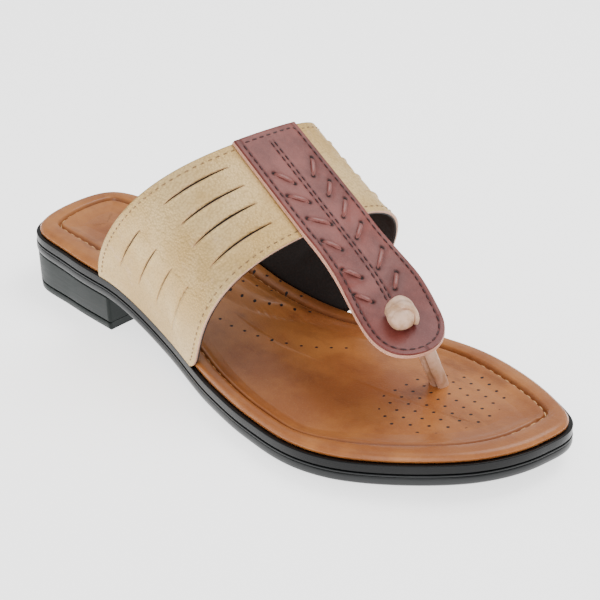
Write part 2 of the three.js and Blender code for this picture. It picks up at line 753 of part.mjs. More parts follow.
// Middle of the strap's top face and its directions on the free part, from 0 at the vamp to 1 at the tip.
function strapFrame(share) {
  const spans = STRAP_TABLE.length + 1;
  const t = (1 + share * (spans - 1)) / spans;
  const middle = strapPath.getPoint(t);
  const ahead = strapPath.getTangent(t);
  const level = new THREE.Vector3(-ahead.y, ahead.x, 0).normalize();
  const tilt = THREE.MathUtils.degToRad(STRAP_TILT * THREE.MathUtils.smoothstep(share, 0, 0.7));
  const side = level.applyAxisAngle(ahead, tilt);
  return { middle, ahead, side, normal: ahead.clone().cross(side) };
}

// Section of the free part of the strap; it flattens towards the tip.
function strapFree(share) {
  const { middle, side, normal } = strapFrame(share);
  const left = middle.distanceTo(strapPath.getPoint(1)) / STRAP_END_ROUND;
  const round = Math.sqrt(Math.max(1 - Math.max(1 - left, 0) ** 2.3, 0.03));
  const flat = THREE.MathUtils.smoothstep(share, 0, 0.8);
  const width = STRAP_WIDTH * THREE.MathUtils.lerp(1, STRAP_END_WIDTH, THREE.MathUtils.smoothstep(share, 0.2, 0.8));
  return STRAP_SHARES.map((place, i) => {
    const sag = jointTop.z - strapJoint[i].top.z;
    const top = middle.clone().addScaledVector(side, 0.5 * place * width * round);
    top.addScaledVector(normal, -sag * (1 - flat));
    return { top, normal };
  });
}

function strapBody() {
  const bands = [0, 0.2, 0.4, 0.6, 0.8, 1];
  const free = [0.1, 0.2, 0.3, 0.4, 0.5, 0.6, 0.68, 0.75, 0.8, 0.85, 0.9, 0.94, 0.97, 0.99, 1];
  const sections = [...bands.map(strapOnVamp), ...free.map(strapFree)];
  return carriedBody(
    sections.map((section) => {
      const tops = section.map((point) => point.top.clone());
      const lows = section.map((point) => point.top.clone().addScaledVector(point.normal, -STRAP_THICKNESS));
      return [...tops, ...lows.reverse()];
    }),
  );
}

// Toe post

const hole = strapFrame(STRAP_HOLE);
const holeUnder = hole.middle.clone().addScaledVector(hole.normal, -STRAP_THICKNESS);
const postFootX = POST_FOOT.along * SOLE_LENGTH;
const postFootY = POST_FOOT.across * BALL_WIDTH;
const postFoot = new THREE.Vector3(postFootX, postFootY, edgeHeight(postFootX) + RIM_HEIGHT * BED_CROWN);
const postEnd = new THREE.Vector3(postFootX, postFootY, trayFloor(postFootX) + 2 * FIT);
const postPath = new THREE.CatmullRomCurve3([
  postEnd,
  postFoot,
  ...POST_TABLE.map(
    (row) =>
      new THREE.Vector3(
        THREE.MathUtils.lerp(postFoot.x, holeUnder.x, row.up) + POST_BOW * row.bow,
        THREE.MathUtils.lerp(postFoot.y, holeUnder.y, row.aside),
        THREE.MathUtils.lerp(postFoot.z, holeUnder.z, row.up),
      ),
  ),
  holeUnder,
  hole.middle.clone().addScaledVector(hole.normal, KNOT_HEIGHT / 2),
]);

// Post of folded leather, grown all round by a clearance to make the tool for its holes.
function postShaft(clearance) {
  const steps = 12;
  const corners = 12;
  const sections = [];
  for (let i = 0; i <= steps; i += 1) {
    const centre = postPath.getPoint(i / steps);
    const along = postPath.getTangent(i / steps);
    if (i === 0) {
      centre.addScaledVector(along, -3 * clearance);
    }
    const wide = new THREE.Vector3(1, 0, 0).projectOnPlane(along).normalize();
    const thin = along.clone().cross(wide);
    const section = [];
    for (let k = 0; k < corners; k += 1) {
      const angle = (2 * Math.PI * (k + 0.5)) / corners;
      const bulge = (value) => Math.sign(value) * Math.abs(value) ** 0.75;
      const point = centre.clone();
      point.addScaledVector(wide, (POST_WIDTH / 2 + clearance) * bulge(Math.cos(angle)));
      point.addScaledVector(thin, -(POST_THICKNESS / 2 + clearance) * bulge(Math.sin(angle)));
      section.push(point);
    }
    sections.push(section);
  }
  return solidOf(carriedBody(sections));
}

// Knot that holds the post on top of the strap.
function knotBody() {
  const profile = KNOT_PROFILE.map(
    (row) => new THREE.Vector2((row.radius * KNOT_WIDTH) / 2, row.height * KNOT_HEIGHT),
  );
  const geometry = new THREE.LatheGeometry(profile, 16);
  const seat = hole.middle.clone().addScaledVector(hole.normal, FIT);
  const squeeze = new THREE.Matrix4().makeScale(1, 1, KNOT_DEPTH / KNOT_WIDTH);
  const turn = new THREE.Matrix4().makeBasis(hole.side, hole.normal, hole.side.clone().cross(hole.normal));
  geometry.applyMatrix4(squeeze);
  geometry.applyMatrix4(turn);
  geometry.translate(seat.x, seat.y, seat.z);
  return geometry;
}

// Materials

const blackRubber = new THREE.MeshStandardMaterial({ color: 0x17191b, roughness: 0.35, metalness: 0 });
const heelRubber = new THREE.MeshStandardMaterial({ color: 0x2a2d2d, roughness: 0.45, metalness: 0 });
const footbedLeather = new THREE.MeshStandardMaterial({ color: 0xa8683a, roughness: 0.3, metalness: 0 });
const vampLeather = new THREE.MeshStandardMaterial({ color: 0xc8b187, roughness: 0.42, metalness: 0.25 });
const strapLeather = new THREE.MeshStandardMaterial({ color: 0x7a4441, roughness: 0.4, metalness: 0 });
const postLeather = new THREE.MeshStandardMaterial({ color: 0xd3bba0, roughness: 0.45, metalness: 0 });

// Assembly

const shaft = postShaft(0);
const shaftRoom = postShaft(FIT);
const footbedSolid = solidOf(footbedBody())
  .subtract(solidOf(marginRoom(-1)))
  .subtract(solidOf(marginRoom(1)))
  .subtract(shaftRoom);
const strapSolid = solidOf(strapBody()).subtract(shaftRoom);
const postSolid = solidOf(knotBody()).add(shaft);

const sandal = new THREE.Group();

function addPiece(name, geometry, material) {
  geometry.computeVertexNormals();
  const mesh = new THREE.Mesh(geometry, material);
  mesh.name = name;
  sandal.add(mesh);
}

addPiece('outsole', outsole(), blackRubber);
addPiece('midsole', midsole(), blackRubber);
addPiece('heel_block', heelBlock(), heelRubber);
addPiece('heel_top_lift', heelTopLift(), heelRubber);
addPiece('footbed', geometryOf(footbedSolid), footbedLeather);
addPiece('vamp', geometryOf(vamp()), vampLeather);
addPiece('t_strap', geometryOf(strapSolid), strapLeather);
addPiece('toe_post', geometryOf(postSolid), postLeather);

const box = new THREE.Box3().setFromObject(sandal);
sandal.position.set(-(box.min.x + box.max.x) / 2, -(box.min.y + box.max.y) / 2, -box.min.z);

const part = new THREE.Group();
part.add(sandal);

export default part;
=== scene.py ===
import bmesh
import bpy
import numpy as np
from mathutils import Matrix, Vector


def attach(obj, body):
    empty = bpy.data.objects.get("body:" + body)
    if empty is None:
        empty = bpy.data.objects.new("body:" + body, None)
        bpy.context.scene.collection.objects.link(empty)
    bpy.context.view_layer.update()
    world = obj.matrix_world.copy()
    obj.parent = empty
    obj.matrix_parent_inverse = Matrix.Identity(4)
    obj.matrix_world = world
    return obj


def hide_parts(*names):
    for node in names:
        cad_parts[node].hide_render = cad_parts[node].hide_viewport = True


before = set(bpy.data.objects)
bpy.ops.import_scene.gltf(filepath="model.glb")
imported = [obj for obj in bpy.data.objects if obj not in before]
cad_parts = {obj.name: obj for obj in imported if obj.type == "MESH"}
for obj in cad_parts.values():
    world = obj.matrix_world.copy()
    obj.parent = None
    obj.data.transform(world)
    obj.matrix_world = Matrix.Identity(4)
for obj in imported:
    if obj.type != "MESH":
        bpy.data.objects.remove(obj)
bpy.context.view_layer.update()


# Lower tier of the sole.
# One moulded black rubber unit with a rounded belly, a thin rib and a groove round its side. It is cemented
# under the upper tier and carries the heel. Lengths are in millimetres, worked out with X from the back of
# the heel to the toe and Y to the inner side.

MM = 0.001
SOLE_LENGTH = 251.0
BALL_WIDTH = 96.0
HEEL_WIDTH = 60.0
HEEL_RISE = 12.5
SEAT_RISE = 2.7
TOE_SPRING = 5.2
CLEARANCE = 0.3
UPPER_TIER_HEIGHT = 3.3
LOWER_TIER_HEIGHT = 4.1
CORNER_ROUNDING = 2.1
HEEL_LENGTH = 64.5
FOREFOOT_EDGE = UPPER_TIER_HEIGHT + CLEARANCE + LOWER_TIER_HEIGHT + CORNER_ROUNDING
RING_POINTS = 420

# Place along the sole and across it, as a share of its width there, from the heel along the outer side.
OUTLINE_ROWS = np.array([
    (0.0, 0.018), (0.04, -0.442), (0.158, -0.52), (0.39, -0.435), (0.647, -0.5), (0.808, -0.486),
    (0.951, -0.213), (1.0, 0.083), (0.966, 0.329), (0.743, 0.503), (0.444, 0.348), (0.16, 0.482),
    (0.026, 0.363),
])
TOE_TURN = 7 / 13
# Place along the sole, and shares of the heel rise, the seat rise and the toe spring.
EDGE_ROWS = np.array([
    (0.0, 1, 1, 0), (0.24, 1, 0, 0), (0.42, 0.34, 0, 0), (0.55, 0, 0, 0), (0.69, 0, 0, 0),
    (0.8, 0, 0, 0.23), (0.9, 0, 0, 0.57), (1.0, 0, 0, 1),
])
# Row number, inset from the outline, and shares of the side's height and of the rounded corner.
LOWER_SIDE = np.array([
    (0, 6, 0, 0), (1, 2.2, 0, 0.55), (2, 0.35, 0.08, 1), (3, 0, 0.42, 1), (4, 0.3, 0.74, 1),
    (5, 0.7, 0.8, 1), (6, 0.05, 0.86, 1), (7, 0.15, 0.97, 1), (8, 0.7, 1, 1),
])


def smooth(value, low, high):
    """Soft step: 0 up to low, 1 from high on, and 3tt - 2ttt between them."""
    t = np.clip((value - low) / (high - low), 0.0, 1.0)
    return t * t * (3.0 - 2.0 * t)


def mix(first, second, share):
    """Straight mix, from first at share 0 to second at share 1."""
    return first + (second - first) * share


def along_rows(rows, column, place):
    """Value of a table's column at places along its first column. Each span is a cubic whose slope at a row is
    the harmonic mean of the chords beside it, so the curve never overshoots its rows."""
    knots = rows[:, 0]
    values = rows[:, column]
    chords = np.diff(values) / np.diff(knots)
    before, after = chords[:-1], chords[1:]
    same_way = before * after > 0
    inner = np.where(same_way, 2 * before * after / np.where(same_way, before + after, 1.0), 0.0)
    slopes = np.concatenate([chords[:1], inner, chords[-1:]])
    x = np.clip(place, knots[0], knots[-1])
    k = np.clip(np.searchsorted(knots, x) - 1, 0, len(knots) - 2)
    span = knots[k + 1] - knots[k]
    t = (x - knots[k]) / span
    rise = (values[k + 1] - values[k]) * t * t * (3 - 2 * t)
    pull = span * (slopes[k] * t * (1 - t) ** 2 - slopes[k + 1] * t * t * (1 - t))
    return values[k] + rise + pull


sole_width = mix(HEEL_WIDTH, BALL_WIDTH, smooth(OUTLINE_ROWS[:, 0], 0.16, 0.62))
outline_points = np.stack([OUTLINE_ROWS[:, 0] * SOLE_LENGTH, OUTLINE_ROWS[:, 1] * sole_width], -1)


def outline(turn, inset=0.0):
    """Point of the sole's outline at a turn from 0 to 1, moved inwards by inset. Each span is the cubic whose
    slopes at the rows are half the step between their neighbours; the inset goes square to the slope."""
    count = len(outline_points)
    place = np.mod(turn, 1.0) * count
    k = np.floor(place).astype(int) % count
    t = (place - np.floor(place))[..., None]
    a, b, c, d = (outline_points[(k + step) % count] for step in (-1, 0, 1, 2))
    leaving, arriving = 0.5 * (c - a), 0.5 * (d - b)
    square = 3 * (c - b) - 2 * leaving - arriving
    cube = 2 * (b - c) + leaving + arriving
    point = b + leaving * t + square * t**2 + cube * t**3
    slope = leaving + 2 * square * t + 3 * cube * t**2
    slope /= np.linalg.norm(slope, axis=-1, keepdims=True)
    inward = np.stack([-slope[..., 1], slope[..., 0]], -1)
    return point + inward * np.asarray(inset)[..., None]


# The finished sandal stands with the middle of its outline over the origin.
outline_ring = outline(np.arange(65) / 65)
ORIGIN = np.append((outline_ring.min(0) + outline_ring.max(0)) / 2, 0.0)


def edge_height(x):
    """Height of the top of the black edge: level at the ball, raised by shares of the three rises."""
    along = x / SOLE_LENGTH
    heel = HEEL_RISE * along_rows(EDGE_ROWS, 1, along)
    seat = SEAT_RISE * along_rows(EDGE_ROWS, 2, along)
    toe = TOE_SPRING * along_rows(EDGE_ROWS, 3, along)
    return FOREFOOT_EDGE + heel + seat + toe


def turn_at(x, side):
    """Turn at which the outline reaches x on its outer (-1) or inner (1) side, read from a fine table."""
    ends = (0.0, TOE_TURN) if side < 0 else (1.0, TOE_TURN)
    turns = np.linspace(*ends, 4000)
    reached = np.maximum.accumulate(outline(turns)[:, 0])
    return np.interp(x, reached, turns)


def ring_at(turns, inset, height):
    """Ring of points round the outline, moved in by inset and lifted to height(x)."""
    flat = outline(turns, inset)
    return np.concatenate([flat, height(flat[:, :1])], -1)


def drawn_in(ring, share, low=0.1 * SOLE_LENGTH, high=0.89 * SOLE_LENGTH):
    """The ring moved by a share of the way to the spine, which lies midway between the sole's two sides and
    ends at low and high. The height stays."""
    x = np.clip(ring[:, 0], low, high)
    outer = outline(turn_at(x, -1))[:, 1]
    inner = outline(turn_at(x, 1))[:, 1]
    spine = np.stack([x, (outer + inner) / 2], -1)
    moved = ring.copy()
    moved[:, :2] = mix(ring[:, :2], spine, share)
    return moved


def grid_faces(rows, columns, round_columns=False, first=0):
    """Four-sided faces of a grid of points numbered row by row. round_columns joins the last column to the
    first. A face looks along (next column) x (next row)."""
    j = np.arange(columns if round_columns else columns - 1)
    i, j = np.meshgrid(np.arange(rows - 1), j, indexing="ij")
    k = (j + 1) % columns
    quads = np.stack([i * columns + j, i * columns + k, (i + 1) * columns + k, (i + 1) * columns + j], -1)
    return (quads.reshape(-1, 4) + first).tolist()


def rung_faces(count, first=0, up=True):
    """Faces that fill a ring by rungs from point i to point count - i, looking up or down."""
    i = np.arange(1, count // 2 - 1)
    rungs = np.stack([i, i + 1, count - i - 1, count - i], -1) + first
    half = count // 2
    ends = [[first, first + 1, first + count - 1], [first + half - 1, first + half, first + half + 1]]
    faces = rungs.tolist() + ends
    return faces if up else [face[::-1] for face in faces]


def new_piece(name, points, faces, finish, weld=None):
    """Smooth mesh object from points in millimetres. weld merges points closer than it."""
    mesh = bpy.data.meshes.new(name)
    placed = (np.reshape(points, (-1, 3)) - ORIGIN) * MM
    mesh.from_pydata(placed.tolist(), [], faces)
    mesh.materials.append(finish.material)
    if weld:
        shape = bmesh.new()
        shape.from_mesh(mesh)
        bmesh.ops.remove_doubles(shape, verts=shape.verts, dist=weld * MM)
        bmesh.ops.dissolve_degenerate(shape, edges=shape.edges, dist=1e-7)
        shape.to_mesh(mesh)
        shape.free()
    mesh.polygons.foreach_set("use_smooth", np.ones(len(mesh.polygons), bool))
    piece = bpy.data.objects.new(name, mesh)
    bpy.context.scene.collection.objects.link(piece)
    return piece


def stacked_piece(name, rings, finish):
    """Closed body over rings, from the middle of its underside outwards, up, and in to its top's middle."""
    levels, count = len(rings), len(rings[0])
    faces = grid_faces(levels, count, round_columns=True)
    faces += rung_faces(count, up=False)
    faces += rung_faces(count, first=(levels - 1) * count)
    return new_piece(name, np.stack(rings), faces, finish)


def paint(red, green, blue):
    """Linear colour from the 0 to 255 values of a screen colour."""
    share = np.array([red, green, blue]) / 255
    linear = np.where(share <= 0.04045, share / 12.92, ((share + 0.055) / 1.055) ** 2.4)
    return (*linear.tolist(), 1.0)


class Amount:
    """An output of a material's node. Sums and products of amounts add Math nodes."""

    def __init__(self, finish, socket):
        self.finish = finish
        self.socket = socket

    def math(self, operation, *others):
        return self.finish.node("ShaderNodeMath", {"operation": operation}, dict(enumerate((self, *others))))

    def __add__(self, other):
        return self.math("ADD", other)

    def __sub__(self, other):
        return self.math("SUBTRACT", other)

    def __mul__(self, other):
        return self.math("MULTIPLY", other)

    def __truediv__(self, other):
        return self.math("DIVIDE", other)

    def __rsub__(self, other):
        return self.finish.node("ShaderNodeMath", {"operation": "SUBTRACT"}, {0: other, 1: self})

    __radd__ = __add__
    __rmul__ = __mul__

    def step(self, low, high):
        """Soft step from 0 at low to 1 at high; falls where low is the larger."""
        settings = {"interpolation_type": "SMOOTHSTEP"}
        return self.finish.node("ShaderNodeMapRange", settings, {0: self, 1: low, 2: high, 3: 0.0, 4: 1.0})


class Finish:
    """A material: its principled shader, its object coordinates in millimetres, and ways to add nodes."""

    def __init__(self, name, **shader):
        self.material = bpy.data.materials.new(name)
        self.material.use_nodes = True
        self.tree = self.material.node_tree
        self.shader = self.tree.nodes["Principled BSDF"]
        for socket, value in shader.items():
            self.set(socket.replace("_", " ").title().replace("Ior", "IOR"), value)
        metres = self.node("ShaderNodeTexCoord", {}, {}, "Object")
        scaled = {"operation": "SCALE"}
        self.place = self.node("ShaderNodeVectorMath", scaled, {0: metres, "Scale": 1 / MM})

    def node(self, kind, settings, inputs, output=0):
        """Adds any node. settings are its properties, and inputs are the values or amounts of its sockets."""
        node = self.tree.nodes.new(kind)
        for setting, value in settings.items():
            setattr(node, setting, value)
        for socket, value in inputs.items():
            if isinstance(value, Amount):
                self.tree.links.new(value.socket, node.inputs[socket])
            else:
                node.inputs[socket].default_value = value
        return Amount(self, node.outputs[output])

    def set(self, socket, value):
        """Sets a socket of the shader to a number or colour, or links an amount to it."""
        if isinstance(value, Amount):
            self.tree.links.new(value.socket, self.shader.inputs[socket])
        else:
            self.shader.inputs[socket].default_value = value

    def blend(self, share, first, second):
        """Colour from first at share 0 to second at share 1."""
        return self.node("ShaderNodeMix", {"data_type": "RGBA"}, {0: share, 6: first, 7: second}, 2)

    def noise(self, size, detail=2.0, roughness=0.5, stretch=(1, 1, 1)):
        """Cloudy noise from 0 to 1 whose patches are about size millimetres, longer where stretch is more."""
        scale = tuple(1 / (size * part) for part in stretch)
        place = self.node("ShaderNodeVectorMath", {"operation": "MULTIPLY"}, {0: self.place, 1: scale})
        inputs = {"Vector": place, "Scale": 1.0, "Detail": detail, "Roughness": roughness}
        return self.node("ShaderNodeTexNoise", {}, inputs)

    def pebbles(self, size):
        """Distance to the nearest pebble centre, 0 to about 1, for pebbles about size millimetres wide."""
        inputs = {"Vector": self.place, "Scale": 1 / size, "Randomness": 1.0}
        return self.node("ShaderNodeTexVoronoi", {"feature": "F1"}, inputs, "Distance")

    def along(self, axis):
        """Coordinate along X, Y or Z in millimetres."""
        return self.node("ShaderNodeSeparateXYZ", {}, {0: self.place}, axis)

    def relief(self, height, depth):
        """Bumps of a height pattern from 0 to 1 that is depth millimetres deep."""
        inputs = {"Height": height, "Distance": depth * MM, "Strength": 1.0}
        self.set("Normal", self.node("ShaderNodeBump", {}, inputs))


def rubber(name, colour, roughness, shine):
    """Black rubber: faint long streaks along the edge, from the mould in its relief and roughness and painted
    lighter as a fine highlight, broad lighter dust, fine specks and a soft gloss.
    """
    finish = Finish(name, specular_ior_level=shine, coat_weight=0.12 * shine, coat_roughness=0.25)
    streaks = finish.noise(0.45, detail=3.0, stretch=(26, 26, 1))
    specks = finish.noise(0.5, detail=2.0)
    dust = finish.noise(22, detail=4.0).step(0.5, 0.75)
    # The lighter colour is real dust in broad patches and a painted highlight along the thin streaks.
    dust_and_sheen = tuple(part * 1.9 + 0.006 for part in colour[:3]) + (1.0,)
    finish.set("Base Color", finish.blend(dust * 0.35 + streaks.step(0.55, 0.8) * 0.3, colour, dust_and_sheen))
    finish.set("Roughness", roughness + streaks * 0.16 + dust * 0.08)
    finish.relief(streaks * 0.7 + specks * 0.3, 0.05)
    return finish


lower_rubber = rubber("lower tier rubber", paint(19, 21, 22), 0.24, 0.35)


def corner_height(x):
    """Height of the lower corner's rounding, which fades out where the heel stands."""
    return CORNER_ROUNDING * smooth(x, HEEL_LENGTH + 2, HEEL_LENGTH + 26)


def lower_top(x):
    return edge_height(x) - UPPER_TIER_HEIGHT - CLEARANCE


def heel_seat(x):
    return lower_top(x) - LOWER_TIER_HEIGHT


def tread_height(x):
    return heel_seat(x) - corner_height(x)


ring_turns = np.arange(RING_POINTS) / RING_POINTS
tread_ring = ring_at(ring_turns, LOWER_SIDE[0, 1], tread_height)
seat_ring = ring_at(ring_turns, 9.5, lower_top)
side_rings = []
for row in np.linspace(0, 8, 49):
    inset, side, corner = (along_rows(LOWER_SIDE, column, row) for column in (1, 2, 3))
    ring = ring_at(ring_turns, inset, tread_height)
    ring[:, 2] += corner_height(ring[:, 0]) * corner + LOWER_TIER_HEIGHT * side
    side_rings.append(ring)
lower_rings = [drawn_in(tread_ring, share) for share in (0.97, 0.7, 0.4, 0.15)]
lower_rings += side_rings
lower_rings += [seat_ring] + [drawn_in(seat_ring, share) for share in (0.4, 0.97)]
lower_tier = stacked_piece("sole_lower_tier", lower_rings, lower_rubber)
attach(lower_tier, "root")
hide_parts("outsole")


# Upper tier of the sole.
# A black rubber midsole with small rounded arrises and a flat ledge round its top. The footbed is cemented
# into its shallow tray.

UPPER_INSET = 0.25
ARRIS = 0.4
TRAY_WALL = 9.5
TRAY_DEPTH = 1.8


def upper_bottom(x):
    return edge_height(x) - UPPER_TIER_HEIGHT


upper_rubber = rubber("upper tier rubber", paint(6, 6, 7), 0.2, 0.2)
bottom_ring = ring_at(ring_turns, TRAY_WALL, upper_bottom)
tray_ring = ring_at(ring_turns, TRAY_WALL + TRAY_DEPTH, lambda x: edge_height(x) - TRAY_DEPTH)
upper_rings = [drawn_in(bottom_ring, 0.97), bottom_ring]
for angle in np.linspace(0, np.pi / 2, 5):
    inset = UPPER_INSET + ARRIS * (1 - np.sin(angle))
    rise = ARRIS * (1 - np.cos(angle))
    upper_rings.append(ring_at(ring_turns, inset, lambda x: upper_bottom(x) + rise))
upper_rings.append(ring_at(ring_turns, UPPER_INSET + 0.08, lambda x: edge_height(x) - UPPER_TIER_HEIGHT / 2))
for angle in np.linspace(np.pi / 2, 0, 5):
    inset = UPPER_INSET + ARRIS * (1 - np.sin(angle))
    drop = ARRIS * (1 - np.cos(angle))
    upper_rings.append(ring_at(ring_turns, inset, lambda x: edge_height(x) - drop))
upper_rings += [ring_at(ring_turns, TRAY_WALL, edge_height), tray_ring, drawn_in(tray_ring, 0.97)]
upper_tier = stacked_piece("sole_upper_tier", upper_rings, upper_rubber)
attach(upper_tier, "root")
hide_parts("midsole")


# Heel.
# A low rubber block cemented under the seat of the sole, with a slightly hollow breast, and a thin hard top
# lift nailed under it. A fine dark joint shows between them.

HEEL_INSET = 0.5
HEEL_TAPER = 0.5
LIFT_HEIGHT = 3.0
BREAST_HOLLOW = 2.0
HEEL_SIDE_POINTS = 90
BREAST_POINTS = 40


def heel_ring(inset, height):
    """Ring round the heel: the outline moved in, behind the breast, and across the breast a line that is
    hollowed by a parabola."""
    outer = np.linspace(0.0, turn_at(HEEL_LENGTH, -1), HEEL_SIDE_POINTS + 1)
    inner = np.linspace(turn_at(HEEL_LENGTH, 1), 1.0, HEEL_SIDE_POINTS + 1)[:-1]
    outer_side = outline(outer, inset)
    inner_side = outline(inner, inset)
    share = np.linspace(0, 1, BREAST_POINTS + 1)[1:-1, None]
    breast = mix(outer_side[-1], inner_side[0], share)
    breast[:, :1] -= BREAST_HOLLOW * (1 - (2 * share - 1) ** 2)
    flat = np.concatenate([outer_side, breast, inner_side])
    return np.concatenate([flat, height(flat[:, :1])], -1)


def heel_piece(name, low, high, low_inset, high_inset, finish):
    """Body of the heel between two heights, with its lower and upper arris rounded."""
    rings = [drawn_in(heel_ring(low_inset + 0.4, low), share, 25.1, 54.5) for share in (0.97, 0.5)]
    for share, extra in (
        (0.0, 0.4), (0.02, 0.12), (0.06, 0.0), (0.5, 0.0), (0.95, 0.0), (0.985, 0.1), (1.0, 0.35),
    ):
        inset = mix(low_inset, high_inset, share) + extra
        rings.append(heel_ring(inset, lambda x: mix(low(x), high(x), share)))
    rings.append(drawn_in(heel_ring(high_inset + 0.4, high), 0.97, 25.1, 54.5))
    return stacked_piece(name, rings, finish)


heel_rubber = rubber("heel rubber", paint(19, 26, 24), 0.36, 0.22)
heel_stack = heel_piece(
    "heel_stack", lambda x: 0 * x + LIFT_HEIGHT + CLEARANCE, lambda x: heel_seat(x) - CLEARANCE,
    HEEL_INSET + HEEL_TAPER, HEEL_INSET, heel_rubber,
)
heel_lift = heel_piece(
    "heel_lift", lambda x: 0 * x, lambda x: 0 * x + LIFT_HEIGHT,
    HEEL_INSET + HEEL_TAPER + 0.3, HEEL_INSET + HEEL_TAPER, heel_rubber,
)
for piece, node in ((heel_stack, "heel_block"), (heel_lift, "heel_top_lift")):
    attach(piece, "root")
    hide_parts(node)


# Footbed.
# Smooth tan leather over foam: a rolled rim all round, a groove with light thread, a dished bed with punched
# holes at the toes and at the arch, and a low cushion under the arch. It is lasted into the tray of the sole.

LEDGE_WIDTH = 1.9
RIM_WIDTH = 10.0
RIM_HEIGHT = 3.0
BED_CROWN = 0.3
CROWN_REACH = 14.0
BED_EDGE = 2.1
CUSHION_HEIGHT = 3.5
CUSHION_SLOPE = 6.5
SEAM_DEPTH = 0.95
SEAM_WIDTH = 0.07
# Place along the sole, and the rim's width on the outer and the inner side as a share of RIM_WIDTH.
RIM_ROWS = np.array([
    (0.0, 0.9, 0.9), (0.08, 1.12, 1.0), (0.18, 1.2, 1.0), (0.4, 0.82, 0.88), (0.6, 0.7, 0.86),
    (0.71, 0.7, 0.92), (0.82, 1.0, 0.96), (0.96, 1.15, 0.86), (1.0, 1.2, 1.2),
])
# Share of the rim's width from its edge, and share of its height.
RIM_PROFILE = np.array([
    (0, 0.45), (0.1, 0.8), (0.28, 0.98), (0.52, 1), (0.8, 0.88), (1, 0.56), (1.16, 0.66), (1.6, 0.38),
    (2.1, 0.2),
])
# Edge of the arch cushion: place along the sole and across it, as a share of BALL_WIDTH.
CUSHION_ROWS = np.array([
    (0.26, 0.34), (0.31, 0.09), (0.376, 0.0), (0.44, 0.035), (0.4855, 0.119), (0.507, 0.172),
    (0.538, 0.245), (0.575, 0.36),
])


def rim_width(turn):
    """Distance from the outline to the seam, read from the rim's table on each side."""
    along = outline(turn)[..., 0] / SOLE_LENGTH
    column = np.where(turn < TOE_TURN, 1, 2)
    outer, inner = along_rows(RIM_ROWS, 1, along), along_rows(RIM_ROWS, 2, along)
    return RIM_WIDTH * np.where(column == 1, outer, inner)


cushion_edge = CUSHION_ROWS * (SOLE_LENGTH, BALL_WIDTH)
cushion_x = np.linspace(cushion_edge[0, 0], cushion_edge[-1, 0], 60)
cushion_line = np.stack([cushion_x, along_rows(cushion_edge, 1, cushion_x)], -1)


def cushion_rise(x, y):
    """Rise of the arch cushion: nothing outside its edge, and from there a parabola up to full height, so that
    a crease shows along its foot."""
    gap = np.hypot(x[..., None] - cushion_line[:, 0], y[..., None] - cushion_line[:, 1]).min(-1)
    edge = np.interp(x, cushion_line[:, 0], cushion_line[:, 1])
    inside = (x > cushion_x[0]) & (x < cushion_x[-1]) & (y > edge)
    share = np.clip(np.where(inside, gap, 0.0) / CUSHION_SLOPE, 0, 1)
    return CUSHION_HEIGHT * share * (2 - share)


def footbed_ring(rim):
    """Ring of the footbed's top at a share of the rim's width: the rim's profile over the black edge, with the
    seam's narrow groove, and the cushion coming in behind the seam."""
    width = rim_width(ring_turns)
    flat = outline(ring_turns, LEDGE_WIDTH + (width - LEDGE_WIDTH) * rim)
    rise = RIM_HEIGHT * along_rows(RIM_PROFILE, 1, rim) - SEAM_DEPTH * np.exp(-(((rim - 1) / SEAM_WIDTH) ** 2))
    cushion = cushion_rise(flat[:, 0], flat[:, 1]) * smooth(rim, 1.0, BED_EDGE)
    return np.concatenate([flat, (edge_height(flat[:, 0]) + rise + cushion)[:, None]], -1)


def bed_ring(share):
    """Ring of the bed at a share of the way to the spine. With its distance from the bed's edge it crowns,
    ever less beyond CROWN_REACH, and it carries the cushion."""
    edge = footbed_ring(BED_EDGE)
    ring = drawn_in(edge, share)
    x, y = ring[:, 0], ring[:, 1]
    gap = np.hypot(x[:, None] - edge[:, 0], y[:, None] - edge[:, 1]).min(-1)
    crown = BED_CROWN * (1 - np.exp(-gap / CROWN_REACH))
    ring[:, 2] = edge_height(x) + RIM_HEIGHT * (RIM_PROFILE[-1, 1] + crown) + cushion_rise(x, y)
    return ring


# Punched holes: slanting rows under the toes, inside an oval, and rows that follow the edge of the cushion.
TOE_HOLES = {"first": (203.2, 7.8), "row_step": 5.2, "row_shift": 2.1, "hole_step": 5.85}
TOE_OVAL = {"middle": (205.0, 8.0), "half_size": (20.0, 24.5)}
ARCH_HOLES = [
    (92.8, 20.2), (98.1, 22.3), (103.6, 24.4), (97.4, 10.3), (102.5, 13.1), (106.3, 17.2), (110.5, 21.3),
    (115.9, 24.2), (98.2, 3.0), (103.6, 4.2), (109.0, 6.0), (113.7, 9.3), (117.0, 12.6), (121.5, 15.5),
    (125.2, 20.0), (108.2, -11.0), (114.1, -10.4), (119.3, -8.4), (124.6, -6.5), (130.1, -4.3),
    (134.9, -1.3), (140.1, 1.5), (144.7, 4.9), (148.6, 8.8), (152.5, 12.8),
]
HOLE_RADIUS = 0.55


